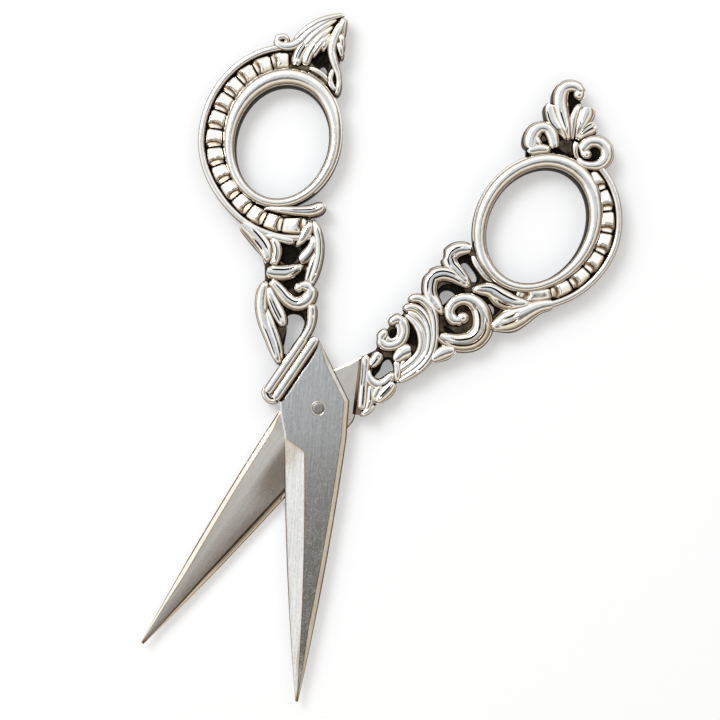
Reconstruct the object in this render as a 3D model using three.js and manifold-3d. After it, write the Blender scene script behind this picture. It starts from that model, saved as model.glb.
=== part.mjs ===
// Embroidery scissors: two ground blades on cast openwork handles, turning on one rivet.
// Millimetres, +Z up. The part lies flat: the rivet's axis is Z, its tail rests on Z = 0,
// and the front blade points along -Y. Each half is first drawn with its handle's outer side
// towards +X and its blade below the middle plane Z = 0; the front half is that drawing turned over.
import * as THREE from 'three';
import { mergeVertices } from 'three/addons/utils/BufferGeometryUtils.js';
import Module from 'manifold-3d';

const wasm = await Module();
wasm.setup();

// Driving dimensions of the whole part
const handleThickness = 4.8;
const groundThickness = 2.0;
const restOpening = 32.6;
const seatGap = 0.3;

// Blades: widths are measured from the line between pivot and point
const bladeLength = 52.9;
const bladeThickness = 1.6;
const pointThickness = 0.8;
const pointWidth = 0.25;
const bladeGap = 0.1;
const backWidth = 5.4;
const backCornerUp = 1.7;
const edgeWidth = 5.8;
const heelDrop = 5;
const bladeBelly = 0.5;
const choilSwell = 0.1;
const edgeThickness = 0.25;
const grindInset = 2.2;
const grindStart = 0.3;
const grindRunOut = 3;
const backBevelWidth = 0.75;
const backBevelDepth = 0.4;
const innerBevelWidth = 0.7;
const innerBevelDepth = 0.25;

// Bolster, where blade and handle meet: a slanted line at a distance from the pivot
const bolsterTilt = 30;
const bolsterStandoff = 6.65;
const bolsterTop = 10.1;
const bolsterHeight = 4.0;
const coveStart = 6.15;
const tangDepth = 1.9;
const tangLow = 0.6;
const tangHigh = 7.4;
const tangThickness = 0.8;

// Rivet
const rivetDiameter = 2.1;
const rivetFaceDiameter = 2.3;
const rivetFlare = 0.3;
const rivetTailDiameter = 4.4;
const rivetTailFlat = 2.4;
const rivetClearance = 0.06;
const countersink = 0.2;
const rivetRecess = 0.05;

// Bows: where each finger opening sits and leans, its size, and the ring round it, which swells at one angle.
// Angles round a bow run from its crest end towards the outer side.
const frontBow = {
  bowOut: 10.05,
  bowUp: 47.0,
  bowLean: 11.2,
  openingLength: 20.3,
  openingWidth: 16.5,
  ringWidth: 2.2,
  ringSwell: 0.5,
  swellAngle: 0,
};
const rearBow = {
  bowOut: 11.7,
  bowUp: 49.6,
  bowLean: 7.6,
  openingLength: 21.4,
  openingWidth: 17.1,
  ringWidth: 2.2,
  ringSwell: 0.65,
  swellAngle: 300,
};

// Beads, floor and rail of the channel outside each ring
const frontBeads = { beadCount: 14, beadWidth: 2.7 };
const rearBeads = { beadCount: 8, beadWidth: 2.2 };
const beadHeight = 4.3;
const beadGap = 0.35;
const railWidth = 0.85;
const railHeight = 4.2;
const railGap = 0.5;
const channelFloor = 2.6;

// Bolster blocks: depth, low end, and ribs as [distance from the pivot line, from, to, half-width]
const frontBolster = {
  bolsterDepth: 3.3,
  bolsterLow: -2.5,
  ribs: [[7.85, -2.6, 9.2, 0.72], [9.6, -2.2, 9.4, 0.75]],
};
const rearBolster = {
  bolsterDepth: 2.5,
  bolsterLow: -1.0,
  ribs: [[7.4, -1.0, 9.6, 0.62], [8.75, -1.8, 3.4, 0.45]],
};

// Where the shank begins on the bolster
const shankStartAway = 1.16;
const shankStartAlong = 4.73;

// Strand widths at which the relief is full height, and the tightest bend a strand can fill
const fullStrand = 0.8;
const bendShare = 0.92;

// Facets: length of a step along a strand, and counts of steps
const strandStep = 1.6;
const ringSteps = 46;
const railSteps = 26;
const bladeSteps = 10;
const roundSteps = 32;
const facetTolerance = 0.02;

// How far cutters run past what they cut
const cutOver = 0.5;

const handleHalf = handleThickness / 2;
const groundHalf = groundThickness / 2;
const innerFace = -bladeGap / 2;
const outerFace = innerFace - bladeThickness;

// Steel and cast silver finishes
const steel = new THREE.MeshStandardMaterial({ color: 0xb9bcbf, roughness: 0.32, metalness: 1 });
const castSilver = new THREE.MeshStandardMaterial({ color: 0xd6d2c8, roughness: 0.25, metalness: 1 });
const rivetSteel = new THREE.MeshStandardMaterial({ color: 0x8f9090, roughness: 0.4, metalness: 1 });

// A closed mesh as a solid, with its faces turned outward
function solidOf(geometry) {
  const bare = geometry.clone();
  bare.deleteAttribute('normal');
  bare.deleteAttribute('uv');
  const merged = mergeVertices(bare, 1e-4);
  const vertProperties = new Float32Array(merged.attributes.position.array);
  const triVerts = new Uint32Array(merged.index.array);
  const solid = new wasm.Manifold(new wasm.Mesh({ numProp: 3, vertProperties, triVerts }));
  if (solid.volume() > 0) return solid;
  return new wasm.Manifold(new wasm.Mesh({ numProp: 3, vertProperties, triVerts: triVerts.reverse() }));
}

// A solid as a mesh with flat facets
function meshOf(solid, name, material) {
  const { vertProperties, triVerts } = solid.getMesh();
  const geometry = new THREE.BufferGeometry();
  geometry.setAttribute('position', new THREE.BufferAttribute(vertProperties, 3));
  geometry.setIndex(new THREE.BufferAttribute(triVerts, 1));
  const faceted = geometry.toNonIndexed();
  faceted.computeVertexNormals();
  const mesh = new THREE.Mesh(faceted, material);
  mesh.name = name;
  return mesh;
}

const xy = ({ x, y }) => ({ x, y });
const unite = (solids) => solids.reduce((whole, piece) => whole.add(piece));

// A closed surface through rings of points, with flat ends or joined end to end
function loft(rings, endless = false) {
  const around = rings[0].length;
  const points = rings.flat();
  const faces = [];
  const spans = endless ? rings.length : rings.length - 1;
  for (let r = 0; r < spans; r++) {
    const here = r * around;
    const there = ((r + 1) % rings.length) * around;
    for (let i = 0; i < around; i++) {
      const j = (i + 1) % around;
      faces.push(here + i, here + j, there + j, here + i, there + j, there + i);
    }
  }
  const end = (rings.length - 1) * around;
  for (let i = 1; i < around - 1 && !endless; i++) {
    faces.push(0, i + 1, i, end, end + i, end + i + 1);
  }
  const geometry = new THREE.BufferGeometry().setFromPoints(points);
  geometry.setIndex(faces);
  return solidOf(geometry);
}

// Unit outlines of a strand's section: [across, up], each reaching 1
const crowned = [[1, 0.4], [0.45, 1], [-0.45, 1], [-1, 0.4], [-1, -0.4], [-0.45, -1], [0.45, -1], [1, -0.4]];
const slim = [[1, 0], [0.4, 1], [-0.4, 1], [-1, 0], [-0.4, -1], [0.4, -1]];
const square = [[1, 1], [-1, 1], [-1, -1], [1, -1]];
const roundRing = [
  [1, 0.3], [0.8, 0.75], [0.35, 1], [-0.35, 1], [-0.8, 0.75],
  [-1, 0.3], [-1, -0.3], [-0.8, -0.75], [-0.35, -1], [0.35, -1], [0.8, -0.75], [1, -0.3],
];

// Rings of a section along stations { x, y, width, height }, all halves
function sectionRings(stations, section, endless = false) {
  const count = stations.length;
  return stations.map((station, i) => {
    const before = stations[endless ? (i + count - 1) % count : Math.max(i - 1, 0)];
    const after = stations[endless ? (i + 1) % count : Math.min(i + 1, count - 1)];
    const along = new THREE.Vector2(after.x - before.x, after.y - before.y).normalize();
    return section.map(([across, up]) => new THREE.Vector3(
      station.x - along.y * station.width * across,
      station.y + along.x * station.width * across,
      station.height * up,
    ));
  });
}

// Half-height of a strand of this half-width: slim strands and tips sink towards the ground
const crownOf = (halfWidth) =>
  groundHalf + (handleHalf - groundHalf) * Math.sqrt(Math.min(1, halfWidth / fullStrand));

// Radius of the bend at station i
function bendRadius(stations, i) {
  const [a, b, c] = [i - 1, i, i + 1].map((k) => new THREE.Vector2(stations[k].x, stations[k].y));
  const twiceArea = Math.abs(b.clone().sub(a).cross(c.clone().sub(a)));
  return (a.distanceTo(b) * b.distanceTo(c) * c.distanceTo(a)) / Math.max(2 * twiceArea, Number.EPSILON);
}

// A strand of relief through points { x, y, width }
function strand(points, section = crowned) {
  const curve = new THREE.CatmullRomCurve3(points.map((p) => new THREE.Vector3(p.x, p.y, p.width)));
  const steps = Math.max(points.length, Math.round(curve.getLength() / strandStep));
  const stations = curve.getSpacedPoints(steps).map((p) => ({ x: p.x, y: p.y, width: p.z }));
  for (let i = 1; i < stations.length - 1; i++) {
    stations[i].width = Math.min(stations[i].width, bendShare * bendRadius(stations, i));
  }
  for (const station of stations) station.height = crownOf(station.width);
  return loft(sectionRings(stations, section));
}

// A rounded knob at the eye of a volute
function bulb({ x, y, width }) {
  const ball = new THREE.SphereGeometry(1, 8, 6);
  ball.rotateX(Math.PI / 2);
  ball.scale(width, width, crownOf(width));
  ball.translate(x, y, 0);
  return solidOf(ball);
}

// A flat plate with this plan outline, its middle on the middle plane
function plateOf(outline, thickness) {
  const shape = new THREE.Shape(outline);
  const plate = new THREE.ExtrudeGeometry(shape, { depth: thickness, bevelEnabled: false });
  plate.translate(0, 0, -thickness / 2);
  return solidOf(plate);
}

// The ground between strands: a plate with openings
function ground(outline, openings) {
  return openings.reduce(
    (plate, opening) => plate.subtract(plateOf(opening, 2 * groundThickness)),
    plateOf(outline, groundThickness),
  );
}

// Plan point on the bolster: distance from the pivot line, then along the bolster from its foot
const tiltAngle = THREE.MathUtils.degToRad(bolsterTilt);
const bolsterPoint = (away, along) => new THREE.Vector2(
  away * Math.cos(tiltAngle) - along * Math.sin(tiltAngle),
  away * Math.sin(tiltAngle) + along * Math.cos(tiltAngle),
);

// A bar with a given profile [away, z] that runs along the bolster
function bolsterBar(profile, from, to) {
  return loft([from, to].map((along) => profile.map(([away, z]) => {
    const plan = bolsterPoint(away, along);
    return new THREE.Vector3(plan.x, plan.y, z);
  })));
}

// Blade outline as formulas: share of the way from heel to point, then half-widths of both sides
const pointShare = (y) => Math.max(0, (-heelDrop - y) / (bladeLength - heelDrop));
function bladeSide(width, y) {
  const share = pointShare(y);
  return width * (1 - share) + pointWidth * share + 4 * bladeBelly * share * (1 - share);
}
const edgeAt = (y) => bladeSide(edgeWidth, y);
const backAt = (y) => -bladeSide(backWidth, y);
const thicknessAt = (y) => bladeThickness + (pointThickness - bladeThickness) * pointShare(y);

// Heights along the blade from heel to point
const bladeStations = Array.from(
  { length: bladeSteps + 1 },
  (_, i) => THREE.MathUtils.lerp(-heelDrop, -bladeLength, i / bladeSteps),
);

// A cutter that takes off what lies outside the slope from each face point to its edge point
function slopeCutter(slopes, towards) {
  return loft(slopes.map(([face, edge]) => {
    const slope = edge.clone().sub(face);
    const past = edge.clone().addScaledVector(slope, cutOver);
    const before = face.clone().addScaledVector(slope, -cutOver);
    const outside = new THREE.Vector3(past.x, past.y, before.z + towards * bladeThickness);
    return [past, before, outside];
  }));
}

// The cutting bevel on the outer face, with its curved run-out by the heel
function cuttingBevel() {
  const start = -heelDrop - grindStart;
  const full = start - grindRunOut;
  const runOut = [0.12, 0.3, 0.5, 0.75].map((share) => THREE.MathUtils.lerp(start, full, share));
  const straight = bladeStations.map((_, i) => (
    THREE.MathUtils.lerp(full, -bladeLength - cutOver, i / bladeSteps)));
  return slopeCutter([...runOut, ...straight].map((y) => {
    const run = THREE.MathUtils.smoothstep(-y, -start, -full);
    const ridge = Math.min(grindInset * (1 - pointShare(y)) ** 2, edgeAt(y) - edgeThickness / 2);
    const inner = THREE.MathUtils.lerp(edgeAt(y), ridge, run);
    const edge = new THREE.Vector3(edgeAt(y), y, innerFace - edgeThickness);
    const face = new THREE.Vector3(inner, y, innerFace - thicknessAt(y));
    return [face, edge];
  }), -1);
}

// A bevel along the back edge, on the outer or the inner face; it narrows with the blade
function backBevel(width, depth, outside) {
  const top = bolsterPoint(bolsterStandoff, bolsterTop + cutOver);
  const corner = new THREE.Vector2(-backWidth, backCornerUp);
  const back = bladeStations.slice(0, -1).map((y) => new THREE.Vector2(backAt(y), y));
  const point = new THREE.Vector2(backAt(-bladeLength - cutOver), -bladeLength - cutOver);
  const path = [top, corner, ...back, point];
  return slopeCutter(path.map((plan, i) => {
    const before = path[Math.max(i - 1, 0)];
    const after = path[Math.min(i + 1, path.length - 1)];
    const along = after.clone().sub(before).normalize();
    const y = Math.min(plan.y, -heelDrop);
    const reach = Math.min(width, (edgeAt(y) - backAt(y)) / 4);
    const inward = new THREE.Vector2(-along.y, along.x).multiplyScalar(reach);
    const sunk = depth * (reach / width);
    const level = outside ? innerFace - thicknessAt(plan.y) : innerFace;
    const face = new THREE.Vector3(plan.x + inward.x, plan.y + inward.y, level);
    const edge = new THREE.Vector3(plan.x, plan.y, outside ? level + sunk : level - sunk);
    return [face, edge];
  }), outside ? -1 : 1);
}

// Wedge that thins the blade towards its point, on the outer face
function pointTaper() {
  const end = -bladeLength - cutOver;
  const side = new THREE.Shape([
    new THREE.Vector2(-heelDrop, outerFace),
    new THREE.Vector2(end, innerFace - thicknessAt(end)),
    new THREE.Vector2(end, outerFace - bladeThickness),
    new THREE.Vector2(-heelDrop, outerFace - bladeThickness),
  ]);
  const wedge = new THREE.ExtrudeGeometry(side, { depth: 4 * edgeWidth, bevelEnabled: false });
  wedge.rotateY(Math.PI / 2);
  wedge.rotateX(Math.PI / 2);
  wedge.translate(-2 * edgeWidth, 0, 0);
  return solidOf(wedge);
}

// Pivot hole, widened to a countersink on the outer face of the blade that hides the rivet's end
function pivotHole(sunkRivet) {
  const radius = rivetDiameter / 2 + rivetClearance;
  const mouth = sunkRivet ? rivetFaceDiameter / 2 + countersink : radius;
  const bore = new THREE.LatheGeometry([
    new THREE.Vector2(0, outerFace - cutOver),
    new THREE.Vector2(mouth, outerFace - cutOver),
    new THREE.Vector2(mouth, outerFace),
    new THREE.Vector2(radius, outerFace + rivetFlare + rivetRecess),
    new THREE.Vector2(radius, innerFace + cutOver),
    new THREE.Vector2(0, innerFace + cutOver),
  ], roundSteps);
  bore.rotateX(Math.PI / 2);
  return solidOf(bore);
}

// One blade with its shoulder, stub tang and pivot hole; heelLow is where its shoulder ends
function makeBlade(heelLow, sunkRivet) {
  const shoulder = bolsterPoint(bolsterStandoff, heelLow);
  const heel = new THREE.Vector2(edgeWidth, -heelDrop);
  const choil = shoulder.clone().lerp(heel, 0.6).addScaledVector(heel.clone().sub(shoulder).rotateAround(
    new THREE.Vector2(), Math.PI / 2).normalize(), choilSwell);
  const outline = [
    shoulder,
    choil,
    ...bladeStations.map((y) => new THREE.Vector2(edgeAt(y), y)),
    ...bladeStations.toReversed().map((y) => new THREE.Vector2(backAt(y), y)),
    new THREE.Vector2(-backWidth, backCornerUp),
    bolsterPoint(bolsterStandoff, bolsterTop),
  ];
  const middle = (innerFace + outerFace) / 2;
  const [low, high] = [middle - tangThickness / 2, middle + tangThickness / 2];
  const [root, end] = [bolsterStandoff - tangDepth, bolsterStandoff + tangDepth];
  const tang = bolsterBar([[root, low], [end, low], [end, high], [root, high]], tangLow, tangHigh);
  return plateOf(outline, bladeThickness).translate(0, 0, middle)
    .add(tang)
    .subtract(pointTaper())
    .subtract(cuttingBevel())
    .subtract(backBevel(backBevelWidth, backBevelDepth, true))
    .subtract(backBevel(innerBevelWidth, innerBevelDepth, false))
    .subtract(pivotHole(sunkRivet));
}

// Plan of a finger bow: the point at an angle and a distance outside its opening, and its ring's width
function bowOf({ bowOut, bowUp, bowLean, openingLength, openingWidth, ringWidth, ringSwell, swellAngle }) {
  const lean = THREE.MathUtils.degToRad(bowLean);
  const centre = new THREE.Vector2(bowOut, bowUp);
  const long = new THREE.Vector2(-Math.sin(lean), Math.cos(lean));
  const short = new THREE.Vector2(Math.cos(lean), Math.sin(lean));
  const ringAt = (angle) => ringWidth + ringSwell * Math.cos(THREE.MathUtils.degToRad(angle - swellAngle));
  const at = (angle, offset) => {
    const turn = THREE.MathUtils.degToRad(angle);
    const [halfWidth, halfLength] = [openingWidth / 2, openingLength / 2];
    const normal = short.clone().multiplyScalar(Math.sin(turn) / halfWidth);
    normal.addScaledVector(long, Math.cos(turn) / halfLength).normalize();
    return centre.clone()
      .addScaledVector(short, halfWidth * Math.sin(turn))
      .addScaledVector(long, halfLength * Math.cos(turn))
      .addScaledVector(normal, offset);
  };
  return { at, ringAt };
}

// The smooth round ring of a bow
function fingerRing(bow) {
  const stations = Array.from({ length: ringSteps }, (_, i) => {
    const angle = (360 * i) / ringSteps;
    const width = bow.ringAt(angle) / 2;
    return { ...xy(bow.at(angle, width)), width, height: handleHalf };
  });
  return loft(sectionRings(stations, roundRing, true), true);
}

// Even stations along a route of [angle, distance from the opening], moved out by a further distance
function routeCurve(bow, route, further) {
  const plan = new THREE.SplineCurve(route.map(([angle, away]) => new THREE.Vector2(angle, away)));
  const points = plan.getPoints(route.length * 5).map(({ x, y }) => bow.at(x, y + further));
  return new THREE.CatmullRomCurve3(points.map(({ x, y }) => new THREE.Vector3(x, y, 0)));
}

// A bead from end to end: [share of its length, of its width, of its height]
const beadShape = [[0, 0.72, 0.75], [0.25, 1, 1], [0.65, 1, 0.97], [1, 0.8, 0.6]];

// Channel outside the ring: its floor, its row of beads and its outer rail
function beadedChannel(bow, { channelRoute, beadCount, beadWidth }) {
  const middle = routeCurve(bow, channelRoute, 0);
  const railOffset = beadWidth / 2 + railGap + railWidth / 2;
  const floor = middle.getSpacedPoints(railSteps).map((p) => (
    { ...xy(p), width: railOffset, height: channelFloor / 2 }));
  const rail = routeCurve(bow, channelRoute, railOffset).getSpacedPoints(railSteps).map((p) => (
    { ...xy(p), width: railWidth / 2, height: railHeight / 2 }));
  const pitch = middle.getLength() / beadCount;
  const beads = Array.from({ length: beadCount }, (_, i) => {
    const length = pitch - beadGap;
    const start = i * pitch + beadGap / 2;
    const stations = beadShape.map(([share, wide, high]) => {
      const p = middle.getPointAt((start + share * length) / middle.getLength());
      return { ...xy(p), width: (wide * beadWidth) / 2, height: (high * beadHeight) / 2 };
    });
    return loft(sectionRings(stations, slim));
  });
  return [loft(sectionRings(floor, square)), loft(sectionRings(rail, slim)), ...beads];
}

// Bolster block with its cove over the other blade, and its ribs [away, from, to, half-width]
function bolster({ bolsterDepth, bolsterLow, ribs }) {
  const face = bolsterStandoff + seatGap;
  const end = bolsterStandoff + bolsterDepth;
  const half = bolsterHeight / 2;
  const foot = innerFace + seatGap;
  const profile = [[end, half], [face, half], [coveStart, foot], [face, foot], [face, -half], [end, -half]];
  const bars = ribs.map(([away, from, to, width]) => strand([from, (from + to) / 2, to].map((along) => (
    { ...xy(bolsterPoint(away, along)), width }))));
  return [bolsterBar(profile, bolsterLow, bolsterTop - seatGap), ...bars];
}

// Socket for the blade's stub tang
function tangSocket() {
  const middle = (innerFace + outerFace) / 2;
  const half = tangThickness / 2 + seatGap;
  const from = bolsterStandoff;
  const to = bolsterStandoff + tangDepth + seatGap;
  const profile = [[from, middle - half], [to, middle - half], [to, middle + half], [from, middle + half]];
  return bolsterBar(profile, tangLow - seatGap, tangHigh + seatGap);
}

// A whole cast handle
function makeHandle(spec) {
  const bow = bowOf(spec);
  const start = bolsterPoint(bolsterStandoff + shankStartAway, shankStartAlong);
  const shank = bow.at(180, bow.ringAt(180)).sub(start);
  const across = new THREE.Vector2(shank.y, -shank.x).normalize();
  const onShank = ([station, aside, width]) => (
    { ...xy(start.clone().addScaledVector(shank, station / 100).addScaledVector(across, aside)), width });
  const lean = THREE.MathUtils.degToRad(spec.crestLean);
  const crestBase = bow.at(spec.crestAngle, bow.ringAt(spec.crestAngle));
  const crestUp = new THREE.Vector2(-Math.sin(lean), Math.cos(lean));
  const crestAcross = new THREE.Vector2(crestUp.y, -crestUp.x);
  const onCrest = ([aside, up, width]) => (
    { ...xy(crestBase.clone().addScaledVector(crestAcross, aside).addScaledVector(crestUp, up)), width });
  const railEnd = bow.at(spec.collarAngle, spec.collarAway);
  const collar = [{ ...xy(railEnd), width: railWidth }, ...spec.collarLeaf.map(onShank)];
  const toPlan = (place) => (points) => points.map((p) => new THREE.Vector2(place(p).x, place(p).y));
  return unite([
    fingerRing(bow),
    ...beadedChannel(bow, spec),
    ...bolster(spec),
    ground(toPlan(onShank)(spec.shankGround), spec.shankOpenings.map(toPlan(onShank))),
    ground(toPlan(onCrest)(spec.crestGround), spec.crestOpenings.map(toPlan(onCrest))),
    strand(collar),
    ...Object.values(spec.shankStrands).map((points) => strand(points.map(onShank))),
    ...Object.values(spec.crestStrands).map((points) => strand(points.map(onCrest))),
    ...spec.shankBulbs.map((point) => bulb(onShank(point))),
    ...spec.crestBulbs.map((point) => bulb(onCrest(point))),
  ]).subtract(tangSocket()).simplify(facetTolerance);
}

// Front scrollwork. Shank points are [per cent of the way from bolster to bow, mm aside, half-width],
// crest points are [mm aside, mm up, half-width]; aside counts towards the outer side.
const frontScrolls = {
  channelRoute: [[14, 5.0], [60, 4.6], [103, 4.1], [148, 3.15], [178, 3.9], [208, 5.8]],
  collarAngle: 164,
  collarAway: 5.7,
  collarLeaf: [[85.5, 3.1, 1.05], [77.6, 2.1, 1.05], [70.3, 1.7, 0.77], [64, 2.0, 0.3]],
  shankStrands: {
    innerStrand: [[82.2, 0.4, 0.45], [75.3, -0.3, 0.5], [69.6, -0.1, 0.5], [62.9, 1.3, 0.54]],
    crossLeaf: [[60, 2.2, 0.81], [58.1, 0.5, 1.05], [56.7, -1.4, 1.0], [58, -3.3, 0.72],
      [59.6, -4.7, 0.2]],
    ringTail: [[99.7, -0.4, 0.54], [94.9, -3.4, 0.54], [91.9, -6.3, 0.58], [92.3, -8.9, 0.72],
      [94.7, -10.5, 0.36]],
    acanthus: [[86.5, -8.0, 0.3], [79.2, -8.4, 0.72], [70.9, -8.2, 0.77], [62.9, -7.6, 0.77],
      [54.8, -6.4, 0.8], [46.7, -5.1, 0.4]],
    upperLobe: [[83.4, -7.9, 0.45], [78.6, -6.4, 0.68], [74.8, -5.0, 0.54], [71.8, -3.7, 0.2]],
    lowerLobe: [[70.1, -7.5, 0.5], [66.3, -6.1, 0.75], [63.7, -4.7, 0.65], [62.5, -3.7, 0.25]],
    volute: [[54.5, 2.2, 0.54], [47.3, 1.1, 0.76], [40.6, -0.1, 0.86], [36.4, -1.7, 0.9],
      [36.5, -3.6, 0.9], [40.4, -4.9, 0.86], [45.4, -4.7, 0.79], [47.6, -3.5, 0.72], [45.8, -2.7, 0.6]],
    rightStrand: [[38.3, -5.2, 0.54], [32, -4.9, 0.68], [25.7, -3.9, 0.76], [19.5, -2.6, 0.8]],
    outerLeaf: [[55.2, 2.2, 0.45], [49.5, 3.4, 0.81], [42.4, 4.2, 0.86], [33.5, 4.4, 0.86],
      [23.1, 4.2, 0.83], [12.4, 3.7, 0.72], [1.1, 3.2, 0.45]],
    innerLobe: [[52, 2.3, 0.36], [44.2, 2.1, 0.65], [36.1, 1.7, 0.76], [28.7, 1.2, 0.65],
      [21.8, 1.0, 0.25]],
    innerRib: [[40.6, 3.5, 0.25], [30.9, 3.4, 0.47], [20.9, 3.0, 0.54], [11.7, 2.6, 0.45],
      [4.5, 2.6, 0.25]],
  },
  shankBulbs: [[44.6, -3.2, 0.65]],
  shankGround: [[89, 3.6], [84, 1.7], [76, -4.4], [83, -7.9], [71, -8.2], [62, -7.3], [47, -5.2], [38, -5.2],
    [26, -4.1], [17, -2], [3, 2.3], [5, 3.5], [24, 4.4], [42, 4.3], [54, 2.7], [63, 2.2], [74, 2.3]],
  shankOpenings: [[[31, 0.3], [28, -1.9], [23, -2.2], [7, 1.5], [17, 1.9], [20, 0.6]]],
  crestAngle: -14,
  crestLean: 20.7,
  crestStrands: {
    rim: [[-0.1, 13.0, 0.25], [2.3, 11.0, 0.45], [4.2, 8.7, 0.54], [5.6, 6.5, 0.47], [6.7, 4.2, 0.25]],
    volute: [[0.2, 12.3, 0.25], [2.2, 10.0, 0.54], [4.0, 7.0, 0.65], [5.4, 4.4, 0.68], [7.0, 2.8, 0.61],
      [8.5, 2.6, 0.58], [9.2, 3.2, 0.5], [8.8, 4.2, 0.47], [7.9, 4.4, 0.43]],
    firstRib: [[0.6, 11.5, 0.25], [2.0, 9.0, 0.54], [3.2, 6.2, 0.76], [4.1, 3.4, 0.83], [4.2, 1.0, 0.72]],
    secondRib: [[0.6, 10.7, 0.25], [1.8, 7.9, 0.54], [2.6, 5.5, 0.72], [2.9, 3.4, 0.76],
      [2.6, 1.0, 0.54]],
    thirdRib: [[0.2, 11.1, 0.25], [0.9, 8.7, 0.54], [1.3, 6.7, 0.58], [1.4, 4.9, 0.36]],
    innerEdge: [[-0.2, 12.3, 0.27], [0, 10.0, 0.61], [0, 7.9, 0.72], [-0.5, 6.1, 0.72], [-1.8, 4.8, 0.72],
      [-3.2, 3.5, 0.6], [-4.2, 2.0, 0.48], [-4.7, 0.3, 0.42], [-4.9, -1.2, 0.3]],
    loop: [[-2.4, 4.2, 0.32], [-2.2, 2.6, 0.4], [-2.6, 1.2, 0.4], [-3.6, 0.1, 0.36], [-4.6, -0.4, 0.29]],
    upperLeaflet: [[-0.6, 9.1, 0.25], [-1.7, 7.9, 0.52], [-2.8, 6.7, 0.25]],
    lowerLeaflet: [[-1.0, 7.0, 0.25], [-2.2, 5.9, 0.52], [-3.3, 4.7, 0.25]],
  },
  crestBulbs: [],
  crestGround: [[0.2, 12.6], [2.5, 10.5], [5.0, 6.4], [5.6, 3.4], [4.8, -0.6], [0.3, 0], [-4.8, -2.2],
    [-4.4, 2.0], [-3.2, 4.2], [-2.6, 7.1], [-1.1, 10.4]],
  crestOpenings: [[[0.5, 1.7], [0.3, 3.2], [-0.5, 3.0], [-1.8, 1.0]]],
};

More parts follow.
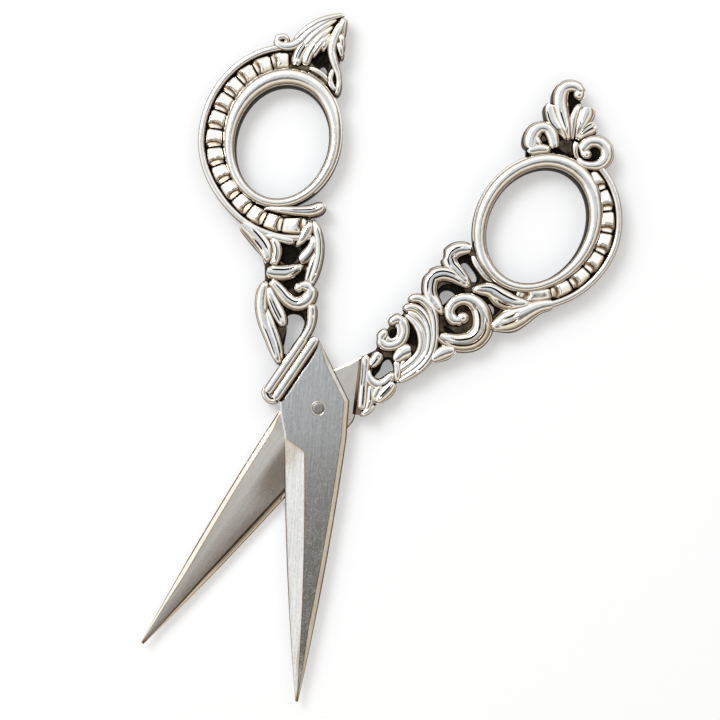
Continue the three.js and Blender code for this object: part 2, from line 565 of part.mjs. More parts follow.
// Rear scrollwork, in the same terms
const rearScrolls = {
  channelRoute: [[23, 3.2], [75, 3.95], [110, 3.4], [156, 2.2]],
  collarAngle: 138,
  collarAway: 4.6,
  collarLeaf: [[110.4, 7.2, 0.94], [102.3, 6.6, 1.35], [94, 6.1, 1.48], [87.1, 5.3, 1.08], [81.1, 5.1, 0.3]],
  shankStrands: {
    upperHook: [[97.9, -7.8, 0.4], [96.3, -9.2, 0.72], [92.2, -10.1, 0.9], [87.4, -10, 1.04],
      [84.4, -8.7, 1.0], [84.2, -7, 0.79], [84.8, -5.1, 0.61], [85.3, -3.2, 0.25]],
    lowerHook: [[84.4, -3.2, 0.25], [83.5, -5, 0.68], [80.8, -6.8, 0.94], [76, -8, 1.08],
      [69.9, -8, 1.15], [64.7, -6.9, 1.13], [62.2, -5.2, 0.86], [62, -3.4, 0.54], [63, -2, 0.25]],
    volute: [[52.4, 0.1, 0.54], [55.8, 1.7, 0.86], [61.4, 3.3, 1.04], [69.4, 4.1, 1.19],
      [77.5, 3.3, 1.22], [82.2, 1.3, 1.15], [81.9, -0.8, 0.97], [77.7, -2.4, 0.85], [71.7, -2.8, 0.77],
      [67.2, -1.9, 0.76], [65.6, -0.4, 0.74]],
    upperLeaf: [[84.6, -2.8, 0.25], [89.8, -1.7, 0.72], [94.1, -0.2, 1.0], [96.8, 1.8, 1.3],
      [101.3, 3.7, 1.04], [109, 5.7, 0.25]],
    outerSheath: [[50.7, -7.6, 0.45], [56.1, -7.1, 0.72], [58.8, -5.4, 0.76], [57.3, -3, 0.7],
      [52.7, -0.8, 0.67], [46, 1.1, 0.7], [37.3, 2.2, 0.68], [27.2, 2.6, 0.58], [18.1, 2.5, 0.32]],
    innerSheath: [[45.6, -6.9, 0.54], [49.2, -6.1, 0.83], [50.3, -4.2, 0.79], [48.5, -2, 0.65],
      [44.1, -0.2, 0.61], [36.9, 1, 0.59], [28.3, 1.6, 0.52], [20.2, 1.6, 0.32]],
    triangleLeaf: [[41, 3.3, 0.25], [46.7, 3.3, 0.72], [52.4, 3.7, 0.72], [57.8, 4.2, 0.32]],
    rosette: [[29.2, -6, 0.45], [24.6, -5.4, 0.65], [24.9, -3.8, 0.68], [30, -3, 0.76],
      [36.2, -3.5, 0.85], [39.4, -5.1, 0.83], [38.1, -6.5, 0.7], [33.5, -6.3, 0.5]],
    budLoop: [[17.9, 2.1, 0.36], [21.3, 0.4, 0.45], [25, -1, 0.54], [29.8, -1.7, 0.63],
      [34.4, -1.4, 0.7], [35.5, -0.2, 0.7], [32.6, 0.7, 0.61], [28.5, 0.6, 0.43]],
    bud: [[20.4, -3.6, 0.45], [16.6, -3.2, 0.76], [12.2, -2.8, 0.63], [8.2, -2.3, 0.4]],
    cradle: [[8, -2.6, 0.43], [5.3, -1.3, 0.58], [5.4, 0.2, 0.65], [8.2, 1.1, 0.68], [13.1, 1.3, 0.65],
      [18.6, 1, 0.43]],
    lowerLeaf: [[-1.1, 3.1, 0.3], [5.4, 2.7, 0.86], [11.4, 2.5, 0.79], [16.8, 2.5, 0.32]],
  },
  shankBulbs: [[69, 0.6, 0.95], [32.5, -4.7, 0.5]],
  shankGround: [[11, -4.7], [18, -4.3], [25, -5.5], [33, -6.3], [40, -6.4], [49, -7.2], [57, -6.8],
    [64, -7.1], [69, -8.2], [77, -7.9], [83, -8.9], [88, -10.1], [94, -9.9], [100, -8.4], [103, -3.5],
    [107, 1.8], [111, 5], [111, 7.2], [97, 6.8], [85, 5.8], [77, 4.4], [67, 4.1], [56, 3.2], [45, 3.2],
    [34, 2.8], [19, 2.8], [7, 2.7], [-1, 3.2], [-8, 3]],
  shankOpenings: [
    [[20, -1.5], [20, -0.3], [18, 0.4], [14, 0.6], [10, 0.3], [8, -0.5], [11, -0.7], [15, -0.9], [18, -1.5]],
    [[68, -5], [70, -5.6], [73, -5.2], [74, -4.2], [74, -3.8], [70, -3.8], [67, -3.8]],
    [[89, -7.1], [91, -6.9], [92, -5.7], [91, -4.2], [90, -3.6], [88, -4], [88, -5.5]],
    [[86, 1.4], [88, 1.6], [88, 3], [87, 3.3], [85, 3.3], [86, 2.3]],
  ],
  crestAngle: -7.5,
  crestLean: 32.4,
  crestStrands: {
    plume: [[0.3, 2.7, 0.25], [-0.9, 5.7, 0.72], [-2.0, 8.3, 1.12], [-2.1, 10.4, 1.08],
      [-1.1, 12.0, 0.97], [0.5, 12.5, 0.83], [1.6, 11.6, 0.83], [1.3, 10.6, 0.79]],
    leftLobe: [[-0.2, 2.7, 0.25], [-1.7, 4.8, 0.54], [-3.0, 6.8, 0.95], [-3.9, 8.5, 1.05],
      [-3.9, 9.3, 0.7]],
    narrowLeaf: [[0.8, 2.8, 0.25], [0.7, 5.6, 0.47], [1.0, 7.8, 0.54], [1.9, 9.4, 0.29]],
    rightLobe: [[1.3, 3.0, 0.25], [1.9, 5.8, 0.65], [2.8, 7.9, 1.04], [3.4, 9.1, 0.72]],
    ribbedLobe: [[1.7, 2.5, 0.25], [2.6, 4.3, 0.58], [4.0, 5.1, 0.9], [5.2, 4.8, 0.72]],
    rightVolute: [[2.6, -1.3, 0.4], [4.2, -1.8, 0.72], [6.0, -1.4, 0.94], [7.2, 0.4, 0.99],
      [6.8, 2.2, 0.95], [5.1, 3.0, 0.88], [3.6, 2.3, 0.81], [3.0, 0.9, 0.76]],
    leftVolute: [[-4.9, 0.9, 0.63], [-6.4, 1.5, 1.1], [-6.9, 3.1, 1.12], [-6.2, 4.5, 0.98],
      [-4.7, 5.0, 0.85], [-3.2, 4.2, 0.85], [-2.4, 2.6, 0.86], [-2.0, 0.5, 0.72]],
    stem: [[1.6, 2.6, 0.36], [1.5, 1.2, 0.4], [1.4, -0.4, 0.3]],
  },
  crestBulbs: [[0.8, 10.8, 0.75], [3.6, 0.5, 0.8]],
  crestGround: [[-7.4, -0.8], [-7.7, 2.7], [-6.5, 5.1], [-4.2, 5.9], [-4.5, 8.9], [-2.6, 10.9], [-1.0, 12.6],
    [1.2, 12.8], [2.4, 11.5], [3.6, 9.6], [4.2, 7.3], [5.4, 5.6], [6.3, 3.5], [7.7, 1.8], [7.0, -1.0],
    [4.6, -2.3], [1.7, -1.2], [-2.9, -0.6]],
  crestOpenings: [],
};

// Rivet: flush and slightly flared in the front blade, peened flat behind the rear one
function makeRivet() {
  const radius = rivetDiameter / 2;
  const face = -outerFace - rivetRecess;
  const tailTop = outerFace - rivetClearance;
  const profile = [
    [0, -handleHalf],
    [rivetTailFlat / 2, -handleHalf],
    [rivetTailDiameter / 2, (tailTop - handleHalf) / 2],
    [rivetTailDiameter / 2, tailTop],
    [radius, tailTop],
    [radius, face - rivetFlare],
    [rivetFaceDiameter / 2, face],
    [0, face],
  ];
  const turned = new THREE.LatheGeometry(profile.map(([r, z]) => new THREE.Vector2(r, z)), roundSteps);
  turned.rotateX(Math.PI / 2);
  return solidOf(turned);
}

// Assembly: the front half is turned over about its blade, the rear half is opened about the rivet
const scissors = new THREE.Group();
scissors.position.z = handleHalf;
const frontHalf = new THREE.Group();
frontHalf.rotation.y = Math.PI;
const frontHandle = makeHandle({ ...frontBow, ...frontBeads, ...frontBolster, ...frontScrolls });
frontHalf.add(meshOf(makeBlade(frontBolster.bolsterLow - seatGap, true), 'front_blade', steel));
frontHalf.add(meshOf(frontHandle, 'front_handle', castSilver));
const rearHalf = new THREE.Group();
rearHalf.rotation.z = -THREE.MathUtils.degToRad(restOpening);
const rearHandle = makeHandle({ ...rearBow, ...rearBeads, ...rearBolster, ...rearScrolls });
rearHalf.add(meshOf(makeBlade(rearBolster.bolsterLow - seatGap, false), 'rear_blade', steel));
rearHalf.add(meshOf(rearHandle, 'rear_handle', castSilver));
scissors.add(frontHalf, rearHalf, meshOf(makeRivet(), 'pivot_rivet', rivetSteel));

export default scissors;
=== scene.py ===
import math

import bmesh
import bpy
from mathutils import Matrix, Vector


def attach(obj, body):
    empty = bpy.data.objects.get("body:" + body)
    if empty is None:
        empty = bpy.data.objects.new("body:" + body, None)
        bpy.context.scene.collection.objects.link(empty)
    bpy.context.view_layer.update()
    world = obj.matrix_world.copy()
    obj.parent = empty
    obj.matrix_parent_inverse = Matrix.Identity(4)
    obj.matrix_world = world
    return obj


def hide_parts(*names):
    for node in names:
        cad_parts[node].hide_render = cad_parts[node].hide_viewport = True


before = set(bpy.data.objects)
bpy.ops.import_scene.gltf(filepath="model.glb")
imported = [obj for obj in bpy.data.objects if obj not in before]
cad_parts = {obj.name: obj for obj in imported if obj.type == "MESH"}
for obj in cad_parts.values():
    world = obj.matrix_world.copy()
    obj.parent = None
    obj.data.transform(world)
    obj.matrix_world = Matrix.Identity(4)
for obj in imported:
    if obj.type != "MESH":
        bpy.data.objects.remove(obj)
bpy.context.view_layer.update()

# The pair, in millimetres and degrees
MM = 0.001
REST_OPENING = 32.6

# Half-thicknesses of a handle and of its layers
HANDLE_HALF = 2.4
CROWN_HALF = 2.28
WEB_HALF = 1.4
GROUND_HALF = 1.0

# Rounded strands of relief; rises, bend and tip are shares of a strand's half-width
STRAND_STEP = 0.34
FEWEST_STEPS = 10
FULL_STRAND = 0.8
BEND_SHARE = 0.92
CAP_RISE = 0.68
RING_RISE = 0.8
TIP_SHARE = 0.12
STRAND_FULLNESS = 2.1
BAR_FULLNESS = 2.3
VOLUTE_LIFT = 0.05

# Incised lines: depth on strands from a half-width up, shares of half-width, and fade as a share of length
GROOVE_DEPTH = 0.3
GROOVE_STRAND = 0.7
GROOVE_HALF = 0.1
GROOVE_CLEAR = 0.13
GROOVE_FADE = 0.12

# Darkness on the silver, from 0 to 1, and where across a strand or a ring it starts: oxide in incised lines;
# painted dark reflection, partly patina, on strand sides and ring outsides; painted shade, partly patina, on
# ring inner walls; painted shade on the bolster block and in bead scoops
SIDE_SHADE_AND_PATINA = 0.78
INNER_SHADE_AND_PATINA = 0.9
GROOVE_PATINA = 0.78
BOLSTER_SHADE = 0.55
SCOOP_SHADE = 0.7
STRAND_SIDE = 0.66
RING_OUTSIDE = 0.88
RING_INSIDE = 0.7

# Finger rings; the last values make each one fuller towards an angle
RING_STEPS = 132
RING_AROUND = 18
RING_FULLNESS = 2.0
FRONT_RING_FULLER = 0.95
FRONT_FULLER_ANGLE = 25
REAR_RING_FULLER = 1.0
REAR_FULLER_ANGLE = 45

# Beaded channels beside the rings; a last bead is longer by a factor
RAIL_WIDTH = 1.2
RAIL_GAP = 0.1
RAIL_HALF = 2.1
FLOOR_HALF = 1.05
FLOOR_STEPS = 60
RAIL_STEPS = 40
FRONT_BEADS = 14
FRONT_BEAD_WIDTH = 2.7
FRONT_LAST_BEAD = 1.4
REAR_BEADS = 8
REAR_BEAD_WIDTH = 2.2
REAR_LAST_BEAD = 1.6

# One bead; ends, climb and lip are shares of its length, the other shares are of its width or height
BEAD_STEPS = 16
BEAD_AROUND = 14
BEAD_HALF = 2.15
BEAD_GAP = 0.06
BEAD_FULLER = 0.9
BEAD_SHIFT = -0.2
BEAD_FULLNESS = 3.4
BEAD_NEAR_END = 0.09
BEAD_FAR_END = 0.05
BEAD_END_WIDTH = 0.92
BEAD_END_HEIGHT = 0.86
BEAD_START_HEIGHT = 0.82
BEAD_CLIMB = 0.65
LIP_START = 0.58
LIP_CURVE = 0.27
LIP_DROP = 0.1
FILL_START = 0.08
SCOOP_DEPTH = 0.32
SCOOP_FILL = 0.16

# Bolster line between blade and handle
BOLSTER_TILT = math.radians(30)
BOLSTER_STANDOFF = 6.65
BOLSTER_TOP = 10.1
BOLSTER_CORE = 1.5
BOLSTER_CLEAR = 0.08
COVE_START = 6.15
SEAT_GAP = 0.3
RIB_END_HALF = 0.5
FRONT_RIBS = ((7.42, -3.3, 10.4, 0.93), (9.2, -3.1, 9.4, 0.95))
SHANK_START_AWAY = 1.16
SHANK_START_ALONG = 4.73

# Outline and thickness of a blade
BLADE_LENGTH = 52.9
INNER_FACE = -0.05
BLADE_THICKNESS = 1.6
POINT_THICKNESS = 0.7
POINT_TAPER = 1.4
POINT_THINNING = 0.6
THINNING_START = 0.8
POINT_WIDTH = 0.25
BACK_WIDTH = 5.4
BACK_CORNER_UP = 1.7
EDGE_WIDTH = 5.8
HEEL_DROP = 5.0
BLADE_BELLY = 0.5
CHOIL_SWELL = 0.1
FRONT_HEEL_LOW = -2.8
REAR_HEEL_LOW = -1.3

# Grinding of a blade
GRIND_INSET = 2.2
GRIND_START = 0.3
GRIND_RUN_OUT = 3.0
GRIND_SINK = 6.5
RIDGE_FROM_EDGE = 0.125
TOP_INSET = 0.02
FACE_CROWN = 0.045
FACE_CREST = 0.52
EDGE_ROLL = 0.1
EDGE_ROLL_SHARE = 0.3
HEEL_DIP = 0.34
DIP_RUN_OUT = (7, 17)
DIP_ACROSS = (0.65, 0.15)
LAND_SLOPE = 0.26
INNER_SLOPE = 0.36
BACK_SLOPE = 0.38
BEVEL_DROP = 0.42
BEVEL_FULL = 0.95
BEVEL_AT_CHOIL = 0.35
INNER_BEVEL_AT_HEEL = 0.5
SHOULDER_BLEND = 0.4
EDGE_FOOT = 0.06
HOLLOW_DEPTH = 0.12
HOLLOW_WIDTH = 6

# Bands along a blade: their width, and the largest share of the blade's own width
EDGE_RIM = (0.3, 0.05)
GRIND_LINE = (0.15, 0.05)
EDGE_LAND = (0.6, 0.12)
EDGE_SHADE = (0.75, 0.1)
BACK_BEVEL = (0.95, 0.22)
INNER_BEVEL_SHARE = 0.2
OUTER_BEVEL_SHARE = 0.3
FACE_SHARES = (0.26, 0.34, 0.45, 0.58, 0.68)

# Darkness on a blade, from 0 to 1: painted shade at the grind lines, painted dark reflection on the rims,
# and darker towards the very point
LINE_SHADE = 0.7
RIM_SHADE = 0.8
POINT_DARKENING = 0.9
POINT_DARKENING_RUN = (0.965, 0.995)

# Rivet and the rim of its hole; roundings are (inset, height, painted shade) from a radius and a face
RIVET_RADIUS = 1.12
RIVET_SHAFT = 1.05
RIVET_SINK = 0.04
RIVET_NECK = 0.3
RIVET_TAIL_RADIUS = 2.2
TAIL_EDGE = 0.1
TAIL_GAP = 0.06
TAIL_ROUNDING = ((1.0, 0, 0), (0.45, 0.12, 0), (0.1, 0.35, 0))
FACE_ROUNDING = ((0.02, -0.08, 1), (0.07, -0.01, 0.5), (0.1, 0, 0), (0.52, 0.012, 0), (1.12, 0.016, 0))
PIVOT_HOLE = 1.11
RIM_INNER_RADIUS = 1.1
RIM_RADIUS = 1.37
RIM_INNER_ROUNDING = ((0, -0.2, 1), (0, -0.03, 1), (-0.04, 0, 0.3), (-0.09, 0.02, 0))
RIM_OUTER_ROUNDING = ((0.1, 0.016, 0), (0.06, 0.008, 0.7), (0, -0.01, 1), (0, -0.2, 1))
TURNING_STEPS = 72
DRILL_STEPS = 48
DRILL_REACH = 0.5

# Angles in degrees from which edges of the pieces are sharp
RELIEF_SHARP = 50
LAYER_SHARP = 40
BLADE_SHARP = 8
RIVET_SHARP = 25
RIM_SHARP = 60

# Finishes, in metres: grain sizes are (width, length), scratches (turn, width, length)
OXIDE_REACH = 0.0006
OXIDE_SHADE = (0.8, 0.4)
OXIDE_AND_SHADE_EASE = (0.25, 0.85)
CAST_BUMP = 0.0001
BRUSH_GRAIN = (0.00022, 0.006)
BRUSH_BUMP = (0.1, 0.00002)
MOTTLE_GRAIN = (0.0003, 0.0007)
GRAIN_DETAIL = 4.0
SCRATCHES_EACH_WAY = ((0.7, 0.00016, 0.0013), (-0.5, 0.00018, 0.0016), (1.3, 0.00015, 0.0011))
SCRATCH_CUT = (0.61, 0.73)
SCRATCH_SHINE = 0.24
SCRATCH_COLOUR = (0.98, 0.95, 0.90, 1)
SCRATCH_BUMP = 0.00003

# Studio, in metres
FLOOR_SIZE = 3.0
FLOOR_GLOW = 0.335
SKY_STRENGTH = 1.06
DIM_SIDE = (0.5, -0.87, 0.0)
DIM_BLEND = (-0.08, 0.15)
CAMERA_SENSOR = 36.0
CAMERA_DISTANCE = 0.3
PHOTO_WIDTH = 0.1296
PHOTO_CENTRE = (0.00676, 0.00921)
PHOTO_TURN = 4.3

# Places of the two halves in the frame
ON_THE_FLOOR = Matrix.Scale(MM, 4) @ Matrix.Translation((0, 0, HANDLE_HALF))
FRONT_PLACE = ON_THE_FLOOR @ Matrix.Rotation(math.pi, 4, "Y")
REAR_PLACE = ON_THE_FLOOR @ Matrix.Rotation(-math.radians(REST_OPENING), 4, "Z")


# Curves and sweeps

def smoothstep(low, high, value):
    share = min(1.0, max(0.0, (value - low) / (high - low)))
    return share * share * (3 - 2 * share)


def mix(a, b, share):
    return a + (b - a) * share


def curve_through(points, steps=12):
    """Points of a smooth curve that passes through the given ones without loops."""
    points = [Vector(p) for p in points]
    chain = [2 * points[0] - points[1], *points, 2 * points[-1] - points[-2]]
    curve = []
    for a, b, c, d in zip(chain, chain[1:], chain[2:], chain[3:]):
        ta = 0.0
        tb = ta + math.sqrt((b - a).length)
        tc = tb + math.sqrt((c - b).length)
        td = tc + math.sqrt((d - c).length)
        for i in range(steps):
            t = mix(tb, tc, i / steps)
            ab = a.lerp(b, (t - ta) / (tb - ta))
            bc = b.lerp(c, (t - tb) / (tc - tb))
            cd = c.lerp(d, (t - tc) / (td - tc))
            abc = ab.lerp(bc, (t - ta) / (tc - ta))
            bcd = bc.lerp(cd, (t - tb) / (td - tb))
            curve.append(abc.lerp(bcd, (t - tb) / (tc - tb)))
    curve.append(points[-1])
    return curve


def even_points(curve, count):
    """Points at even distances along the curve, and the curve's length in plan."""
    reach = [0.0]
    for a, b in zip(curve, curve[1:]):
        reach.append(reach[-1] + (b - a).to_2d().length)
    spaced = []
    span = 0
    for i in range(count + 1):
        target = reach[-1] * i / count
        while span < len(curve) - 2 and reach[span + 1] < target:
            span += 1
        gap = max(reach[span + 1] - reach[span], 1e-9)
        spaced.append(curve[span].lerp(curve[span + 1], (target - reach[span]) / gap))
    return spaced, reach[-1]


def headings(points, endless=False):
    """Unit directions of travel in plan at each point."""
    count = len(points)
    found = []
    for i in range(count):
        before = points[(i - 1) % count] if endless else points[max(i - 1, 0)]
        after = points[(i + 1) % count] if endless else points[min(i + 1, count - 1)]
        found.append((after - before).to_2d().normalized())
    return found


def loft(bm, loops, endless=False):
    """Extrudes a closed outline through the loops, each a list of (place, darkness) pairs; the darkness is
    stored on the vertices, as oxide patina in some places and painted shade in others.
    """
    patina_and_painted_shade = bm.verts.layers.float.get("patina_and_painted_shade") or bm.verts.layers.float.new("patina_and_painted_shade")
    ring = [bm.verts.new(place) for place, _ in loops[0]]
    edges = [bm.edges.new((a, b)) for a, b in zip(ring, ring[1:] + ring[:1])]
    for vert, (_, dark) in zip(ring, loops[0]):
        vert[patina_and_painted_shade] = dark
    first = ring
    first_edges = edges
    made = []
    for loop in loops[1:]:
        grown = bmesh.ops.extrude_edge_only(bm, edges=edges)["geom"]
        fresh = {v for v in grown if isinstance(v, bmesh.types.BMVert)}
        ring = [next(e.other_vert(v) for e in v.link_edges if e.other_vert(v) in fresh) for v in ring]
        edges = [bm.edges.get((a, b)) for a, b in zip(ring, ring[1:] + ring[:1])]
        made += [f for f in grown if isinstance(f, bmesh.types.BMFace)]
        for vert, (place, dark) in zip(ring, loop):
            vert.co = place
            vert[patina_and_painted_shade] = dark
    if endless:
        made += bmesh.ops.bridge_loops(bm, edges=edges + first_edges)["faces"]
    else:
        made.append(bm.faces.new(first))
        made.append(bm.faces.new(ring))
    bmesh.ops.recalc_face_normals(bm, faces=made)
    volume = sum(f.calc_center_median().dot(f.normal) * f.calc_area() for f in made)
    if volume < 0:
        bmesh.ops.reverse_faces(bm, faces=made)


def mirrored_section(middle, way, width, top, pointed=False):
    """Closed section across a way: points (across, height, darkness) on top, and the same ones underneath;
    the darkness is oxide patina in some places and painted shade in others.
    """
    side = Vector((-way.y, way.x, 0))
    under = [(u, -z, d) for u, z, d in reversed(top[1:-1] if pointed else top)]
    return [(middle + side * (u * width) + Vector((0, 0, z)), d) for u, z, d in top + under]


def crown_half(width):
    """Half-height of a strand: slim strands and tips sink towards the ground."""
    return GROUND_HALF + (CROWN_HALF - GROUND_HALF) * math.sqrt(min(1.0, width / FULL_STRAND))


def bend_radius(a, b, c):
    a, b, c = a.to_2d(), b.to_2d(), c.to_2d()
    twice_area = abs((b - a).cross(c - a))
    return (b - a).length * (c - b).length * (c - a).length / max(2 * twice_area, 1e-9)


def section_places(lines, count=9):
    """Places across a strand from its left side to its right, with three at every incised line."""
    plain = [math.cos(math.pi * i / (2 * count)) for i in range(2 * count + 1)]
    kept = [u for u in plain if all(abs(u - line[0]) > GROOVE_CLEAR for line in lines)]
    cut = [line[0] + offset for line in lines for offset in (-GROOVE_HALF, 0, GROOVE_HALF)]
    return sorted(kept + cut, reverse=True)


def pillow(across, fullness):
    """Share of the full height at a place across a rounded strand."""
    return max(0.0, 1 - abs(across) ** fullness) ** (1 / fullness)


def line_depth(lines, across, share):
    """How deep the incised lines (across, from, to) are at a place on a strand, from 0 to 1."""
    depth = 0.0
    for line, start, end in lines:
        if abs(across - line) < 1e-6:
            fade_out = 1 - smoothstep(end - GROOVE_FADE, end, share)
            depth = smoothstep(start, start + GROOVE_FADE, share) * fade_out
    return depth


def strand(bm, points, lines=(), fullness=STRAND_FULLNESS, lift=0.0):
    """A rounded strand of relief through points (x, y, half-width), with incised lines along it: oxide in
    the lines, and a painted dark reflection, partly patina, on its sides.
    """
    fine = curve_through(points)
    _, length = even_points(fine, 1)
    count = max(FEWEST_STEPS, round(length / STRAND_STEP))
    stations, _ = even_points(fine, count)
    widths = [p.z for p in stations]
    for i in range(1, count):
        widths[i] = min(widths[i], BEND_SHARE * bend_radius(*stations[i - 1:i + 2]))
    places = section_places(lines)
    loops = []
    for i, (station, way) in enumerate(zip(stations, headings(stations))):
        share = i / count
        width = widths[i]
        for far, tip in ((share * length, widths[0]), (length - share * length, widths[-1])):
            if far < tip:
                width *= max(TIP_SHARE, math.sqrt(1 - (1 - far / tip) ** 2))
        half = crown_half(width) + lift
        groove = GROOVE_DEPTH * min(1, width / GROOVE_STRAND)
        top = []
        for across in places:
            depth = line_depth(lines, across, share)
            height = half - CAP_RISE * width * (1 - pillow(across, fullness)) - groove * depth
            # Painted dark reflection, partly patina, towards the sides of the strand
            side_dark = SIDE_SHADE_AND_PATINA * smoothstep(STRAND_SIDE, 1.0, abs(across))
            top.append((across, height, max(GROOVE_PATINA * depth, side_dark)))
        loops.append(mirrored_section(station.to_2d().to_3d(), way, width, top))
    loft(bm, loops)


def bulb(bm, place, radius):
    """A rounded knob at the eye of a volute."""
    shape = Matrix.Translation((place[0], place[1], 0)) @ Matrix.Diagonal((radius, radius, 1, 1))
    ball = bmesh.ops.create_uvsphere(bm, u_segments=24, v_segments=16, radius=1, matrix=shape)
    half = crown_half(radius) + VOLUTE_LIFT
    for vert in ball["verts"]:
        if abs(vert.co.z) > 0.01:
            vert.co.z = math.copysign(half - CAP_RISE * radius * (1 - abs(vert.co.z)), vert.co.z)


def plate(bm, outline, openings, half):
    """A flat plate with openings right through it."""
    rims = []
    for loop in [outline, *openings]:
        verts = [bm.verts.new((x, y, -half)) for x, y in loop]
        rims += [bm.edges.new((a, b)) for a, b in zip(verts, verts[1:] + verts[:1])]
    filled = bmesh.ops.triangle_fill(bm, edges=rims, use_beauty=True)["geom"]
    faces = [f for f in filled if isinstance(f, bmesh.types.BMFace)]
    grown = bmesh.ops.extrude_face_region(bm, geom=faces)["geom"]
    raised = [v for v in grown if isinstance(v, bmesh.types.BMVert)]
    bmesh.ops.translate(bm, verts=raised, vec=(0, 0, 2 * half))
    bmesh.ops.recalc_face_normals(bm, faces=bm.faces)


def smooth_outline(points, count=30):
    """An even closed outline through corner points."""
    steps = 6
    lead = 2 * steps
    ring = [(x, y, 0) for x, y in points]
    curve = curve_through(ring[-2:] + ring + ring[:3], steps)[lead:-lead]
    spaced, _ = even_points(curve, count)
    return [(p.x, p.y) for p in spaced[:-1]]


def turned(profile, steps=TURNING_STEPS):
    """Spins a profile of (radius, height, darkness) points round the pivot; the darkness is painted shade.
    """
    bm = bmesh.new()
    patina_and_painted_shade = bm.verts.layers.float.new("patina_and_painted_shade")
    verts = [bm.verts.new((radius, 0, height)) for radius, height, _ in profile]
    for vert, (_, _, dark) in zip(verts, profile):
        vert[patina_and_painted_shade] = dark
    edges = [bm.edges.new(pair) for pair in zip(verts, verts[1:])]
    bmesh.ops.spin(bm, geom=verts + edges, cent=(0, 0, 0), axis=(0, 0, 1), angle=2 * math.pi,
                   steps=steps, use_merge=True)
    bmesh.ops.remove_doubles(bm, verts=bm.verts, dist=1e-5)
    bmesh.ops.recalc_face_normals(bm, faces=bm.faces)
    return bm


# Plan of a handle: its bow, its shank and its crest

class Bow:
    """Finger bow; angles run from its crest end towards the outer side."""

    def __init__(self, out, up, lean, length, width, ring, swell, swell_angle):
        self.centre = Vector((out, up))
        self.half_width = width / 2
        self.half_length = length / 2
        turn = math.radians(lean)
        self.along = Vector((-math.sin(turn), math.cos(turn)))
        self.aside = Vector((math.cos(turn), math.sin(turn)))
        self.ring, self.swell, self.swell_angle = ring, swell, swell_angle

    def ring_at(self, angle):
        return self.ring + self.swell * math.cos(math.radians(angle - self.swell_angle))

    def at(self, angle, offset):
        """Plan point at an angle, at a distance out from the finger opening."""
        sine, cosine = math.sin(math.radians(angle)), math.cos(math.radians(angle))
        edge = self.aside * (self.half_width * sine) + self.along * (self.half_length * cosine)
        normal = self.aside * (sine / self.half_width) + self.along * (cosine / self.half_length)
        return self.centre + edge + normal.normalized() * offset


def bolster_point(away, along):
    """Plan point at a distance square to the bolster line from the pivot, and along that line."""
    sine, cosine = math.sin(BOLSTER_TILT), math.cos(BOLSTER_TILT)
    return Vector((away * cosine - along * sine, away * sine + along * cosine))


def plan_points(points, base, first_way, second_way, fuller):
    """Plan points for (first, second, half-width) ones, counted along two ways from a base."""
    found = []
    for first, second, *width in points:
        place = base + first_way * first + second_way * second
        found.append((place.x, place.y, *[w * fuller for w in width]))
    return found


class Plan:
    """Turns shank points (per cent, aside) and crest points (aside, up) into plan ones."""

    def __init__(self, bow, crest_angle, crest_lean, shank_fuller, crest_fuller):
        self.shank_fuller, self.crest_fuller = shank_fuller, crest_fuller
        self.start = bolster_point(BOLSTER_STANDOFF + SHANK_START_AWAY, SHANK_START_ALONG)
        self.shank_way = (bow.at(180, bow.ring_at(180)) - self.start) / 100
        self.shank_aside = Vector((self.shank_way.y, -self.shank_way.x)).normalized()
        self.crest_base = bow.at(crest_angle, bow.ring_at(crest_angle))
        lean = math.radians(crest_lean)
        self.crest_up = Vector((-math.sin(lean), math.cos(lean)))
        self.crest_aside = Vector((self.crest_up.y, -self.crest_up.x))

    def shank(self, points):
        return plan_points(points, self.start, self.shank_way, self.shank_aside, self.shank_fuller)

    def crest(self, points):
        return plan_points(points, self.crest_base, self.crest_aside, self.crest_up, self.crest_fuller)


FRONT_BOW = Bow(10.05, 47.0, 11.2, 20.3, 16.5, 2.2, 0.5, 0)
REAR_BOW = Bow(11.7, 49.6, 7.6, 21.4, 17.1, 2.2, 0.65, 300)
FRONT_PLAN = Plan(FRONT_BOW, -14, 20.7, 1.38, 1.22)
REAR_PLAN = Plan(REAR_BOW, -7.5, 32.4, 1.45, 1.42)

# Middle of each beaded channel: angle round the bow and distance from the finger opening
FRONT_CHANNEL = [(11, 5.0), (60, 4.6), (103, 4.1), (148, 3.15), (178, 3.9), (214, 6.1)]
REAR_CHANNEL = [(17, 3.1), (75, 3.95), (110, 3.4), (150, 2.35), (166, 2.0)]


# Pieces of a bow

def finger_ring(bm, bow, fuller, fuller_angle):
    """The smooth round ring, fuller towards one side, with a painted dark reflection on its outer side and
    painted shade on its inner wall, both partly patina.
    """
    centres = []
    for i in range(RING_STEPS):
        angle = 360 * i / RING_STEPS
        swollen = fuller * max(0.0, math.cos(math.radians(angle - fuller_angle)))
        width = (bow.ring_at(angle) + swollen) / 2
        centre = bow.at(angle, width)
        centres.append(Vector((centre.x, centre.y, width)))
    places = [math.cos(math.pi * i / RING_AROUND) for i in range(RING_AROUND + 1)]
    loops = []
    for centre, way in zip(centres, headings(centres, True)):
        top = []
        for across in places:
            height = HANDLE_HALF - RING_RISE * centre.z * (1 - pillow(across, RING_FULLNESS))
            # Painted dark reflection, partly patina, on the ring's outer side
            outer_dark = SIDE_SHADE_AND_PATINA * smoothstep(RING_OUTSIDE, 1.0, across)
            # Painted shade, partly patina, on the ring's inner wall
            inner_dark = INNER_SHADE_AND_PATINA * smoothstep(RING_INSIDE, 1.0, -across)
            top.append((across, height, outer_dark + inner_dark))
        loops.append(mirrored_section(centre.to_2d().to_3d(), way, centre.z, top))
    loft(bm, loops, endless=True)


